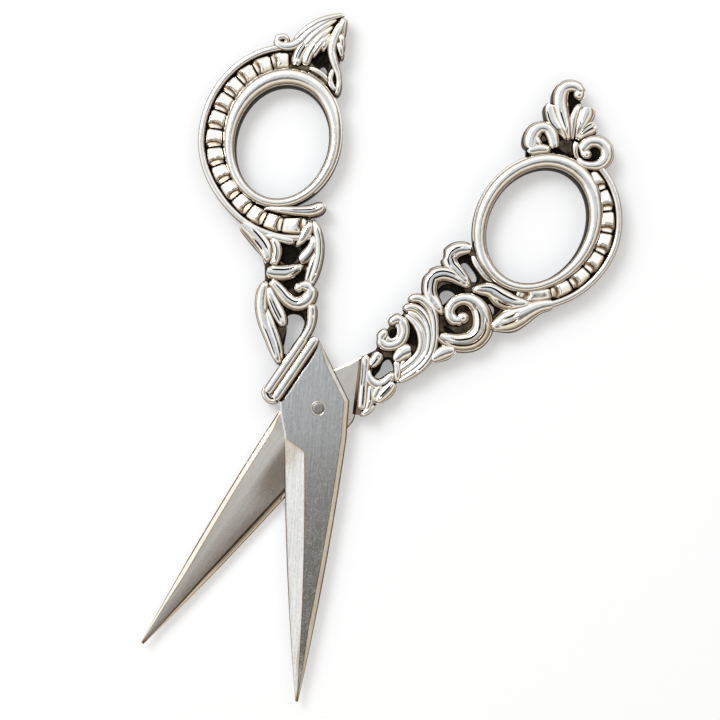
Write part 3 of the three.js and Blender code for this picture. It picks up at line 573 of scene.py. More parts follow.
def channel_curve(bow, route, further, count):
    """Even points of a route of (angle, distance from the opening), moved out by a further distance."""
    plan = curve_through([(angle, away, 0) for angle, away in route])
    curve = [bow.at(p.x, p.y + further).to_3d() for p in plan]
    return even_points(curve, count)


def channel_reach(bead_width):
    """Distance from the middle of a channel to the middle of its rail."""
    return bead_width / 2 + RAIL_GAP + RAIL_WIDTH / 2


def channel_floor(bm, bow, route, bead_width):
    """Dark floor under the beads, between ring and rail."""
    points, _ = channel_curve(bow, route, 0, FLOOR_STEPS)
    corners = [(1, FLOOR_HALF, 1.0), (-1, FLOOR_HALF, 1.0)]
    reach = channel_reach(bead_width)
    loft(bm, [mirrored_section(point, way, reach, corners) for point, way in zip(points, headings(points))])


def channel_rail(bm, bow, route, bead_width):
    points, _ = channel_curve(bow, route, channel_reach(bead_width), RAIL_STEPS)
    lift = RAIL_HALF - crown_half(RAIL_WIDTH / 2)
    strand(bm, [(p.x, p.y, RAIL_WIDTH / 2) for p in points], fullness=BAR_FULLNESS, lift=lift)


def bead_section(point, way, bead_width, share):
    """Section of a bead at a share of its length: it rises, and is scooped out at its far end, where painted
    shade darkens the scoop.
    """
    ends = math.sqrt(max(0, min(1.0, share / BEAD_NEAR_END, (1 - share) / BEAD_FAR_END)))
    width = (bead_width + BEAD_FULLER) / 2 * mix(BEAD_END_WIDTH, 1.0, ends)
    climb = mix(BEAD_START_HEIGHT, 1.0, smoothstep(0.0, BEAD_CLIMB, share))
    rise = climb * mix(BEAD_END_HEIGHT, 1.0, ends)
    top = []
    for i in range(BEAD_AROUND + 1):
        across = math.cos(math.pi * i / BEAD_AROUND)
        lip = LIP_START + LIP_CURVE * across * across
        scoop = smoothstep(lip, lip + LIP_DROP, share)
        filled = smoothstep(lip + FILL_START, 1.0, share)
        scooped = rise - SCOOP_DEPTH * scoop + SCOOP_FILL * filled
        height = BEAD_HALF * pillow(across, BEAD_FULLNESS) * scooped
        # Painted shade in the scoop at the bead's far end
        top.append((across, height, SCOOP_SHADE * scoop * (1 - filled)))
    return mirrored_section(point, way, width, top, pointed=True)


def bead_row(bm, bow, route, count, bead_width, last_bead):
    """Barrel beads in a row, the last one longer by a factor."""
    points, length = channel_curve(bow, route, BEAD_SHIFT, count * BEAD_STEPS)
    ways = headings(points)
    pitch = length / (count - 1 + last_bead)
    for bead in range(count):
        bead_length = pitch * (last_bead if bead == count - 1 else 1.0)
        loops = []
        for step in range(BEAD_STEPS + 1):
            share = step / BEAD_STEPS
            reach = bead * pitch + mix(BEAD_GAP / 2, bead_length - BEAD_GAP / 2, share)
            spot = min(reach / length * count * BEAD_STEPS, len(points) - 1.001)
            low = int(spot)
            point = points[low].lerp(points[low + 1], spot - low)
            way = ways[low].lerp(ways[low + 1], spot - low).normalized()
            loops.append(bead_section(point, way, bead_width, share))
        loft(bm, loops)


# Bolster at the foot of a handle

def bolster(bm, depth, low, top, ribs=()):
    """Block with its cove over the other blade, darkened all over with painted shade, and rounded ribs
    (away, from, to, half-width).
    """
    face = BOLSTER_STANDOFF + BOLSTER_CLEAR
    end = BOLSTER_STANDOFF + depth
    foot = INNER_FACE + SEAT_GAP
    profile = ((end, BOLSTER_CORE), (face, BOLSTER_CORE), (COVE_START, foot), (face, foot),
               (face, -BOLSTER_CORE), (end, -BOLSTER_CORE))
    loops = []
    for along in (low, top):
        places = [bolster_point(away, along).to_3d() + Vector((0, 0, z)) for away, z in profile]
        # Painted shade over the whole block
        loops.append([(place, BOLSTER_SHADE) for place in places])
    loft(bm, loops)
    for away, start, stop, width in ribs:
        points = [bolster_point(away, mix(start, stop, share)) for share in (0, 0.5, 1)]
        strand(bm, [(p.x, p.y, width) for p in points], fullness=BAR_FULLNESS)


# Scrollwork: each strand's points with half-widths, its incised lines (across, from, to) and its lift

def strand_adder(bm, place):
    """A function that adds strands given in a shank's or a crest's own points."""
    def add(points, lines=(), lift=0.0):
        strand(bm, place(points), lines, lift=lift)
    return add


def front_shank(bm):
    add = strand_adder(bm, FRONT_PLAN.shank)
    # Collar leaf
    add([(92.6, 4.7, 0.81), (87.2, 3.4, 1.11), (80.9, 2.3, 1.22), (74.3, 1.5, 1.11), (69, 1.4, 0.72),
         (63.9, 1.9, 0.14)], [(-0.25, 0.2, 0.78), (0.35, 0.35, 0.75)])
    # Bar under the beads
    add([(83.8, 1.4, 0.27), (80.9, 0.1, 0.47), (77.7, -1.7, 0.52), (75.1, -3.4, 0.5), (74.2, -4.2, 0.36)])
    # Strand beside the collar
    add([(80.8, -0.1, 0.36), (75.2, -0.6, 0.64), (70.8, -0.6, 0.68), (66.6, -0.1, 0.64),
         (62.2, 0.9, 0.57)], [(0.1, 0.15, 0.85)])
    # Cross leaf
    add([(59.7, 2.2, 0.75), (57.9, 0.6, 1.11), (56.4, -1.3, 1.11), (57.1, -3, 0.82), (59.1, -4.9, 0.14)],
        [(-0.35, 0.1, 0.8), (0.45, 0.55, 0.88)])
    # Tail of the ring
    add([(98.8, 0.4, 0.1), (97.7, -1.1, 0.34), (95.9, -2.6, 0.5), (92.4, -6, 0.68), (91.1, -8.2, 0.86),
         (91.9, -9.7, 0.82), (93, -10.8, 0.29)], [(-0.2, 0.42, 0.92)])
    # Strip under the ring
    add([(98, -0.2, 0.18), (92.6, -2.8, 0.27), (89, -5.5, 0.27), (87.1, -7.9, 0.21)], lift=-0.7)
    # Acanthus, outer
    add([(85.7, -8.1, 0.18), (79.2, -8.3, 0.54), (72.1, -8.3, 0.63), (64.7, -7.9, 0.63),
         (57.6, -7.1, 0.64), (50.7, -6, 0.61), (45, -5.1, 0.32)], [(-0.25, 0.1, 0.85)])
    # Acanthus, inner
    add([(66.3, -7.5, 0.21), (60.6, -6.6, 0.48), (54.8, -5.7, 0.54), (49.7, -4.9, 0.45),
         (46.8, -4.4, 0.18)], [(0, 0.2, 0.9)])
    # Acanthus, upper lobe
    add([(85.2, -7.9, 0.27), (79.7, -6.7, 0.79), (75.2, -5.5, 0.64), (70.6, -3.9, 0.14)],
        [(0.15, 0.2, 0.75)])
    # Acanthus, lower lobe
    add([(76.5, -7.6, 0.27), (70.4, -7.1, 0.64), (66, -6.2, 0.86), (62.8, -4.9, 0.86), (61.6, -3.9, 0.39)],
        [(-0.45, 0.35, 0.95)])
    # Front volute
    add([(53.9, 1.7, 0.54), (46.6, 0.5, 0.86), (40, -0.5, 0.97), (36.1, -1.8, 1), (36, -3.4, 1.07),
         (39.2, -4.7, 1), (43.6, -4.9, 0.9), (46.3, -3.9, 0.82), (46, -3.1, 0.72)], [(-0.25, 0.05, 0.6)],
        lift=0.05)
    # Strand to the bolster
    add([(34.4, -4.6, 0.5), (30, -4.5, 0.66), (25.5, -4.2, 0.66), (21, -3.7, 0.6), (16.4, -2.7, 0.58),
         (11.6, -1.36, 0.56)], [(-0.2, 0.08, 0.35)])
    # Outer leaf
    add([(54.3, 2.3, 0.27), (48.7, 3.3, 0.79), (42.1, 4, 0.9), (35.3, 4.3, 0.9), (27.6, 4.2, 0.9),
         (18.9, 3.8, 0.86), (10.3, 3.5, 0.75), (0.5, 3.2, 0.39)], [(-0.5, 0.3, 0.5), (0.25, 0.5, 0.92)])
    # Inner rib
    add([(39.9, 3.6, 0.18), (32.1, 3.4, 0.48), (24.1, 3.1, 0.61), (15.6, 2.8, 0.61), (7.8, 2.7, 0.47),
         (2.2, 2.8, 0.18)], [(0, 0.35, 0.9)])
    # Inner lobe
    add([(51, 2.2, 0.27), (44, 2.2, 0.68), (36.6, 1.8, 0.9), (29.8, 1.3, 0.9), (22.9, 1, 0.43)],
        [(0.35, 0.25, 0.9), (-0.05, 0.3, 0.85)])
    bulb(bm, FRONT_PLAN.shank([(45.5, -3)])[0], 0.9)
    # Rounded end of the ribs
    corner = ((10, -2.2), (9.6, -3.2), (8.5, -3.8), (7.4, -3.6), (6.9, -2.9))
    ends = [bolster_point(away, along) for away, along in corner]
    strand(bm, [(p.x, p.y, RIB_END_HALF) for p in ends])


def front_crest(bm):
    add = strand_adder(bm, FRONT_PLAN.crest)
    # Rim of the crest
    add([(0.3, 12.7, 0.28), (2.1, 11.3, 0.47), (4, 9.5, 0.5), (5.1, 7.8, 0.5), (6, 6.1, 0.43),
         (6.5, 4.6, 0.21)], lift=0.08)
    # Rim volute
    add([(0.5, 12.6, 0.18), (2.2, 10.8, 0.43), (3.6, 8.8, 0.57), (4.7, 6.9, 0.72), (5.4, 5, 0.82),
         (6.4, 3.7, 0.75), (7.7, 3, 0.68), (8.8, 3, 0.61), (9.3, 3.7, 0.54), (8.8, 4.4, 0.47),
         (8, 4.6, 0.43), (7.5, 4.1, 0.36), (7.8, 3.6, 0.3), (8.3, 3.7, 0.3)], lift=0.05)
    # First vein
    add([(1, 11.6, 0.21), (2.4, 9.5, 0.54), (3.5, 7.3, 0.75), (4.3, 5.1, 0.9), (4.6, 3.3, 0.97),
         (4.5, 1.7, 0.86), (4.2, 0.7, 0.54)], [(0.3, 0.55, 0.97), (-0.2, 0.6, 0.95)])
    # Second vein
    add([(1.1, 10.2, 0.21), (2, 8.3, 0.57), (2.7, 6.3, 0.72), (3, 4.4, 0.75), (3, 2.8, 0.75),
         (2.7, 1.4, 0.57)], [(-0.2, 0.5, 0.97)])
    # Third vein
    add([(1.2, 9, 0.21), (1.6, 7.3, 0.54), (2, 5.7, 0.61), (2.2, 4.1, 0.5), (2.1, 3.2, 0.21)],
        [(0, 0.4, 0.95)])
    # Fourth vein
    add([(1.1, 8.9, 0.18), (1.1, 7.3, 0.47), (1.1, 6, 0.5), (1, 4.9, 0.21)], [(0.2, 0.3, 0.9)])
    # Strand of the crest
    add([(0, 12.4, 0.28), (0, 10.9, 0.54), (0.1, 9.1, 0.68), (0, 7.4, 0.72), (-0.4, 6, 0.68),
         (-1.2, 4.8, 0.66), (-2.2, 3.7, 0.56), (-3.2, 2.65, 0.46), (-3.95, 1.45, 0.42), (-4.4, 0.1, 0.4),
         (-4.6, -1.1, 0.18)], lift=0.08)
    # Loop of the crest
    add([(-2.2, 3.5, 0.25), (-2.1, 2.4, 0.4), (-2.4, 1.1, 0.42), (-3.2, 0.2, 0.4), (-4.2, -0.2, 0.34)])
    # Top leaflet
    add([(-0.2, 12.4, 0.26), (-0.4, 11.2, 0.42), (-0.85, 10, 0.36), (-1.3, 8.9, 0.18)])
    # Middle leaflet
    add([(-0.2, 9.7, 0.18), (-1, 8.8, 0.48), (-1.75, 7.7, 0.36), (-2.2, 6.8, 0.16)])
    # Lower leaflet
    add([(-0.5, 8.1, 0.21), (-1.4, 7.2, 0.5), (-2.15, 6.3, 0.42), (-2.6, 5.3, 0.18)])
    # Strip along the ring
    add([(2.3, 1.6, 0.21), (0.7, 1.6, 0.38), (-0.8, 1.4, 0.39), (-2, 0.9, 0.32), (-3.2, 0.2, 0.18)],
        lift=-0.3)


def rear_shank(bm):
    add = strand_adder(bm, REAR_PLAN.shank)
    # Upper hook
    add([(98.4, -8.6, 0.5), (95.5, -9.6, 0.86), (90.4, -10.3, 1.05), (85.3, -10, 1.12), (83.4, -8.8, 1.0),
         (84, -7.3, 0.85), (84.6, -5.4, 0.64), (84.7, -3.5, 0.27)], [(-0.2, 0.12, 0.6), (0.35, 0.3, 0.88)])
    # Lower hook
    add([(84.2, -3.4, 0.27), (82.5, -5.4, 0.76), (79.9, -7.1, 0.94), (75.8, -8.4, 1.02),
         (70.2, -8.8, 1.08), (65.4, -7.7, 1.02), (62.8, -6.1, 0.98), (62.3, -4.2, 0.76),
         (62.3, -2.1, 0.18)], [(-0.28, 0.15, 0.72), (0.3, 0.08, 0.8)])
    # Great volute
    add([(52.4, 0.2, 0.6), (55.5, 1.8, 1.02), (60.8, 3.5, 1.28), (67.3, 4.45, 1.42), (74.1, 4.15, 1.45),
         (79, 2.7, 1.4), (81.6, 0.65, 1.22), (80.7, -1.3, 0.98), (77.1, -2.5, 0.79), (71.8, -2.9, 0.75),
         (67.2, -2.4, 0.72), (65.1, -1.2, 0.75), (66.1, -0.1, 0.86), (69.5, 0.4, 0.98)],
        [(-0.3, 0.04, 0.5), (0.25, 0.06, 0.62)], lift=0.05)
    # Upper leaf
    add([(83.9, -3, 0.21), (88.9, -2, 0.75), (93.2, -0.8, 1.04), (95.6, 1.3, 1.43), (98.8, 3, 1.25),
         (103.2, 4.2, 0.75), (108.9, 5.6, 0.14)], [(0.32, 0.1, 0.8), (-0.4, 0.4, 0.72)])
    # Lower leaf
    add([(79.8, 4.8, 0.18), (85.3, 5, 1.07), (92.1, 5.5, 1.61), (98.4, 5.9, 1.47), (104.9, 6.2, 1.18),
         (111.5, 6.7, 0.9), (118.5, 7.8, 0.72)], [(0.25, 0.18, 0.5), (-0.2, 0.1, 0.48)])
    # Outer sheath
    add([(50.4, -7.6, 0.36), (53.3, -7.8, 0.54), (56.7, -7.1, 0.61), (58.4, -5.3, 0.68),
         (57.2, -3.1, 0.64), (53.4, -1.1, 0.54), (48.6, 0.7, 0.54), (42.8, 2.1, 0.57), (35.2, 2.9, 0.57),
         (26.2, 3, 0.5), (17.5, 2.7, 0.27)], [(0.1, 0.2, 0.85)])
    # Second sheath
    add([(44.5, -7, 0.43), (48.3, -7, 0.57), (51.6, -6, 0.61), (52.7, -4.1, 0.61), (51.2, -2.1, 0.57),
         (47.1, -0.1, 0.54), (41.8, 1.4, 0.54), (35.1, 2.1, 0.54), (27.2, 2.3, 0.47), (19.8, 2, 0.25)],
        [(0.1, 0.1, 0.7)])
    # Third sheath
    add([(46.2, -6.6, 0.36), (48.6, -5, 0.5), (49, -3.4, 0.47), (47.4, -1.6, 0.43), (43.8, 0.1, 0.43),
         (38.8, 1.2, 0.43), (32, 1.7, 0.43), (24.4, 1.6, 0.25)])
    # Inner sheath
    add([(43.7, -6.5, 0.21), (45.4, -5.2, 0.39), (46, -3.6, 0.47), (44.9, -1.9, 0.5), (41.4, -0.2, 0.5),
         (36.6, 0.8, 0.5), (30.5, 1.2, 0.5), (24.4, 1.2, 0.43), (20.8, 1.2, 0.29)])
    # Triangle leaf
    add([(39.5, 3.1, 0.25), (45.5, 3.1, 0.85), (50.2, 3.3, 1.05), (53.8, 3.8, 0.75), (56.2, 4.4, 0.25)])
    # Rosette
    add([(33.1, -6.3, 0.36), (37.4, -6.7, 0.68), (40.2, -6.1, 0.75), (39.7, -4.7, 0.72),
         (36.6, -3.5, 0.72), (32.1, -2.9, 0.72), (27.1, -3.2, 0.68), (23.9, -4.1, 0.72),
         (24.1, -5.3, 0.72), (27.7, -5.8, 0.64), (30.9, -5.8, 0.36)], lift=0.05)
    # Ring of the rosette
    add([(35.9, -6.1, 0.29), (37, -5.2, 0.36), (35.1, -4.2, 0.36), (31.7, -3.7, 0.36), (28.4, -4, 0.36),
         (27.5, -4.8, 0.36), (29.2, -5.4, 0.29)], lift=0.05)
    # Bud leaf
    add([(22.5, -0.8, 0.36), (26, -0.9, 0.82), (30.3, -1, 1.11), (33.7, -0.7, 1.18), (35.4, -0.4, 0.82)])
    # Rim on the bud leaf
    add([(24.6, -0.7, 0.21), (26.6, -1.3, 0.27), (30, -1.5, 0.29), (32.3, -1.1, 0.29), (31.5, -0.4, 0.29),
         (27.9, -0.2, 0.27), (25.2, -0.4, 0.21)], lift=0.1)
    # Stalk of the bud leaf
    add([(24, -0.8, 0.36), (22.4, 0.4, 0.47), (19.9, 1.6, 0.5), (16.7, 2.7, 0.29)])
    # Second stalk
    add([(28.5, 0.2, 0.39), (25, 0.8, 0.36), (21.9, 1.3, 0.29)])
    # Bud
    add([(20, -3.5, 0.47), (16.5, -3.1, 0.82), (12.7, -2.7, 0.72), (8.8, -2.4, 0.29)], [(0.1, 0.3, 0.92)])
    # Cradle
    add([(8.4, -2.5, 0.36), (5.5, -1.4, 0.57), (5.1, -0.1, 0.72), (7.2, 1.1, 0.79), (11.1, 1.4, 0.75),
         (15.7, 1.2, 0.61), (19.5, 0.7, 0.29)], [(-0.3, 0.5, 0.85)])
    # Fall of the cradle
    add([(9.3, 1.3, 0.47), (4.7, 1.8, 0.64), (1, 2.5, 0.5), (-2, 3.3, 0.18)])
    # Foot leaf
    add([(-1.3, 3.5, 0.18), (3.5, 3.1, 0.7), (8.6, 2.8, 0.93), (13.3, 2.5, 0.75), (16.3, 2.3, 0.29)],
        [(0.1, 0.25, 0.85)])
    # Bolster bar
    add([(11.9, -4.7, 0.54), (9.1, -3.6, 0.68), (5.3, -2.3, 0.61), (0.3, -0.5, 0.64), (-4.7, 1.3, 0.68),
         (-9.8, 3, 0.54)], [(0, 0.5, 0.95), (-0.45, 0.12, 0.6)])
    # Bolster strand
    add([(4.9, 0.1, 0.36), (1.5, 1.1, 0.47), (-1.4, 2.2, 0.54), (-4.9, 3.1, 0.47), (-9.3, 3.5, 0.29)],
        [(0, 0.15, 0.6)])
    # Bolster foot
    add([(-1, 3.6, 0.25), (-5.1, 3.7, 0.39), (-9.2, 3.7, 0.39), (-12.4, 3.7, 0.21)])
    # Strip beside the ring
    add([(97.2, -8.2, 0.27), (96, -6.5, 0.47), (95.7, -4.6, 0.5), (96.4, -2.7, 0.47), (99.1, -0.8, 0.3),
         (103, 1.5, 0.27), (106.2, 3.5, 0.18)], lift=-0.6)
    bulb(bm, REAR_PLAN.shank([(70.6, 0.2)])[0], 1.12)


def rear_crest(bm):
    add = strand_adder(bm, REAR_PLAN.crest)
    # Plume
    add([(0.4, 3, 0.18), (-0.3, 5.3, 0.61), (-1.1, 7.5, 0.97), (-1.65, 9.6, 1.05), (-1.7, 11.3, 1.05),
         (-1.1, 12.5, 0.93), (0.3, 12.9, 0.79), (1.5, 12.4, 0.74), (1.75, 11.6, 0.62), (1.45, 11.2, 0.4)],
        [(0.2, 0.12, 0.45)], lift=0.05)
    # Left lobe
    add([(0, 3.1, 0.14), (-1.3, 4.7, 0.5), (-2.7, 6.4, 0.82), (-3.3, 7.9, 0.82), (-3.5, 8.9, 0.7),
         (-3.3, 9.6, 0.34)], [(0.5, 0.2, 0.85)])
    # Narrow leaf
    add([(1, 3.2, 0.14), (0.9, 5.4, 0.39), (1, 7.5, 0.54), (1.5, 9.1, 0.47), (1.9, 9.9, 0.21)])
    # Right lobe
    add([(1.6, 3.3, 0.14), (2.1, 5.3, 0.55), (2.8, 7.3, 1.05), (3.2, 8.6, 1.15), (3.2, 9.5, 0.85)],
        [(0.35, 0.1, 0.6)], lift=0.03)
    # Ribbed lobe
    add([(1.9, 3.1, 0.14), (2.7, 4.5, 0.6), (3.7, 5.4, 0.95), (4.5, 5.9, 0.95), (5.1, 6.2, 0.55)],
        [(0.4, 0.25, 0.9), (-0.1, 0.3, 0.9)])
    # Right volute
    add([(2, 0.3, 0.27), (3, -0.8, 0.47), (4.7, -1.1, 0.57), (6.3, -0.7, 0.79), (7.3, 0.7, 0.9),
         (7.1, 2.2, 0.9), (5.9, 3.2, 0.86), (4.3, 3.2, 0.82), (3.3, 2.4, 0.86), (3, 1.4, 0.82),
         (3.5, 0.7, 0.86)], lift=0.05)
    # Left volute
    add([(-6.15, 1, 0.74), (-6.35, 2.1, 1.08), (-6.2, 3.4, 1.14), (-5.7, 4.4, 1.06), (-4.9, 5.05, 0.84),
         (-3.7, 5, 0.82), (-2.7, 3.7, 0.82), (-2.3, 2.4, 0.75), (-2.1, 1.3, 0.57)], lift=0.05)
    # Foot of the left volute
    add([(-6.9, 0.7, 0.45), (-6, 0.9, 0.75), (-4.9, 1.2, 0.8), (-3.6, 1.2, 0.6), (-2.6, 1, 0.3)])
    # Heart of the left volute
    add([(-4.2, 1.5, 0.29), (-5.1, 2.1, 0.57), (-5.9, 3, 0.72), (-6.6, 3.8, 0.54)])
    # Stem
    add([(1.7, 3.2, 0.36), (1.6, 2, 0.41), (1.8, 0.8, 0.32), (2.4, -0.2, 0.21)])
    bulb(bm, REAR_PLAN.crest([(1.55, 11.5)])[0], 1.15)
    bulb(bm, REAR_PLAN.crest([(3.7, 0.9)])[0], 0.95)


# Grounds behind the scrolls: outlines, holes right through and dark recesses, in each plan's own points

FRONT_SHANK_OUTLINE = [
    (89, 3.6), (84, 1.7), (76, -4.4), (83, -7.9), (71, -8.2), (62, -7.3), (47, -5.2), (38, -5.2),
    (26, -4.1), (17, -2), (3, 2.3), (5, 3.5), (24, 4.4), (42, 4.3), (54, 2.7), (63, 2.2), (74, 2.3),
]
FRONT_SHANK_HOLES = [
    [(29.5, 0.2), (30.1, -1.1), (27.2, -2.4), (21.4, -2.7), (15.1, -1.6), (9.9, 0), (5.9, 1.4), (7.7, 2.2),
     (14.5, 1.5), (20.4, 0.8)],
]
FRONT_SHANK_RECESSES = [
    [(76, -0.8), (74.6, -2.3), (71.6, -3.8), (68, -4.6), (64, -3.9), (61.5, -3.1), (61.1, -1.8),
     (64.4, -0.8), (70.2, -0.8)],
    [(52.4, -2.3), (56.6, -4), (54.7, -4.8), (50.8, -4.4), (49.2, -3.1), (46.3, -1.9), (45.5, -0.7),
     (48.6, 0), (51.4, -0.6)],
    [(41.5, 1.3), (38.5, 0.6), (34.2, -0.3), (31.6, -1.6), (30.5, -2.8), (24.3, -2.8), (17.7, -1.8),
     (11.2, 0.2), (5.3, 1.9), (9.5, 2.4), (17, 1.5), (21.1, 0.7), (30.8, 0.7), (36.6, 1.2)],
    [(69.8, -4.8), (72.6, -7.1), (69.7, -7.1), (67, -6), (66.9, -4.8)],
]
FRONT_CREST_OUTLINE = [
    (0.2, 12.6), (2.5, 10.5), (5.0, 6.4), (6.8, 2.6), (6.4, -1.0), (0.3, 0), (-4.6, -2.2), (-3.9, 1.8),
    (-2.6, 3.9), (-2.0, 7.1), (-0.9, 10.4),
]
FRONT_CREST_HOLES = [
    [(0.2, 2.7), (-0.3, 3), (-1.2, 2.3), (-1.5, 1.8), (-0.5, 1.8), (0.3, 1.9)],
]
FRONT_CREST_RECESSES = [
    [(2.4, 2.8), (1.7, 4.1), (0.6, 5.4), (-0.6, 5.3), (-1, 3.9), (-1.2, 2.5), (-1.2, 1.7), (-0.1, 1.6),
     (1.1, 2.1)],
]
REAR_SHANK_OUTLINE = [
    (11, -4.7), (18, -4.3), (25, -5.5), (33, -6.3), (40, -6.4), (49, -7.2), (57, -6.8), (64, -7.1),
    (69, -8.2), (77, -7.9), (83, -8.9), (88, -10.1), (94, -9.9), (100, -8.4), (103, -3.5), (107, 1.8),
    (111, 5), (111, 7.2), (97, 6.8), (85, 5.8), (77, 4.4), (67, 4.1), (56, 3.2), (45, 3.2), (34, 2.8),
    (19, 2.8), (7, 2.7), (-1, 3.2), (-8, 3),
]
REAR_SHANK_HOLES = [
    [(17.5, -1.7), (21, -1.5), (20.1, 0.2), (16.9, 1.1), (13, 0.9), (8.4, 0.5), (7.7, -0.4), (12.9, -0.9)],
    [(68, -5.6), (70.6, -5.7), (73.6, -5.2), (75.1, -3.9), (72, -3.5), (68.5, -3.8), (65.5, -3.8),
     (65.9, -4.8)],
    [(88.5, -7.7), (91.2, -7.5), (92, -6.4), (91.4, -4.2), (89.5, -3.6), (86.8, -4.3), (86.9, -6.4)],
    [(86.5, 0.8), (89.1, 1.4), (88.4, 2.5), (84.9, 3.1), (84.1, 2)],
]
REAR_SHANK_RECESSES = [
    [(88.7, -8.8), (93.3, -8.9), (96.3, -7.6), (95.5, -6), (93.1, -4), (90.6, -3.2), (87.7, -3.5),
     (87.6, -5), (88.1, -6.8), (87.2, -8.1)],
    [(67.9, -6.4), (71.7, -6.7), (76.9, -6), (80.8, -4.6), (80.5, -3.2), (77.4, -3.1), (73.3, -3.6),
     (68.6, -3.4), (65.1, -3.6), (64.6, -4.7)],
    [(86.7, -1), (91.3, -0.2), (92, 1.5), (91.4, 2.9), (87.2, 3.2), (84, 3.2), (84.3, 2), (85.2, 0.6)],
    [(39.5, -3.8), (45.5, -4.1), (43.6, -2.4), (42.6, -1.1), (38.1, -0.9), (36.4, -2)],
    [(9.1, -2.4), (16.4, -2.5), (22.7, -1.7), (22.5, -0.4), (18.3, 0.9), (13.1, 1.4), (8.2, 0.7),
     (6.6, -0.6)],
    [(31.4, -5.6), (34.9, -5.3), (34.4, -4.3), (30.8, -3.9), (30, -4.8)],
    [(69.9, -2.5), (71.6, -1.7), (67.9, -0.7), (66.5, 1.1), (63.8, 0.7), (64.6, -0.9), (67, -2)],
    [(58.4, -0.7), (60.6, 0.2), (62.2, 1.7), (65.8, 2.6), (63, 2.6), (59.8, 1.5), (57.6, 0.2)],
]
REAR_CREST_OUTLINE = [
    (-7.0, -0.8), (-7.1, 2.6), (-6.0, 4.8), (-3.9, 5.6), (-3.9, 8.6), (-2.4, 10.8), (-1.0, 12.6),
    (1.0, 12.4), (1.7, 10.8), (2.6, 8.8), (3.3, 7.0), (4.4, 5.2), (5.1, 3.4), (6.9, 1.8), (6.4, -0.8),
    (4.6, -2.3), (1.7, -1.2), (-2.9, -0.6),
]
REAR_CREST_RECESSES = [
    [(-1.5, 2.6), (-0.5, 3.2), (0.8, 3.1), (1.3, 1.6), (1.2, 0.6), (-0, 0.9), (-1.1, 1.5)],
    [(-5.5, 3.9), (-4.8, 4.7), (-3.9, 4.4), (-3.5, 3.6), (-3.9, 2.7), (-4.9, 2.8)],
    [(4.8, 2.1), (5.7, 2.6), (6.4, 1.6), (6.1, 0.5), (5.2, 0), (5.6, 1.2)],
    [(-0.6, 10.3), (-0.2, 12), (0.4, 12.5), (0.3, 11.2), (0.6, 10.1), (1.3, 9.3), (0.6, 8.6), (-0.1, 9)],
]


def layer(bm, place, outline, openings, half):
    plate(bm, place(outline), [smooth_outline(place(points)) for points in openings], half)


# Objects

def mesh_object(bm, name):
    mesh = bpy.data.meshes.new(name)
    bm.to_mesh(mesh)
    bm.free()
    made = bpy.data.objects.new(name, mesh)
    bpy.context.scene.collection.objects.link(made)
    return made


def piece(bm, name, place, material, body, sharp):
    """A finished piece in the frame, riding its half, with edges sharp from an angle up."""
    bmesh.ops.transform(bm, matrix=place, verts=bm.verts)
    made = mesh_object(bm, name)
    for polygon in made.data.polygons:
        polygon.use_smooth = True
    made.data.set_sharp_from_angle(angle=math.radians(sharp))
    made.data.materials.append(material)
    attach(made, body)
    return made


# Blades

def point_share(y):
    return max(0.0, (-HEEL_DROP - y) / (BLADE_LENGTH - HEEL_DROP))


def blade_side(width, y):
    share = point_share(y)
    return width * (1 - share) + POINT_WIDTH * share + 4 * BLADE_BELLY * share * (1 - share)


def edge_at(y, shoulder):
    """Outline on the cutting side: bolster line, choil, then the edge."""
    if y >= shoulder.y:
        return (BOLSTER_STANDOFF - y * math.sin(BOLSTER_TILT)) / math.cos(BOLSTER_TILT)
    if y > -HEEL_DROP:
        share = (shoulder.y - y) / (shoulder.y + HEEL_DROP)
        return mix(shoulder.x, EDGE_WIDTH, share) + 4 * CHOIL_SWELL * share * (1 - share)
    return blade_side(EDGE_WIDTH, y)


def back_at(y):
    """Outline on the back: slanting down from the top, then the long back."""
    top = bolster_point(BOLSTER_STANDOFF, BOLSTER_TOP)
    if y > BACK_CORNER_UP:
        return mix(-BACK_WIDTH, top.x, (y - BACK_CORNER_UP) / (top.y - BACK_CORNER_UP))
    return -blade_side(BACK_WIDTH, y)


def fitted(band, wide):
    """Width of a band on a blade of the given width."""
    return min(band[0], band[1] * wide)


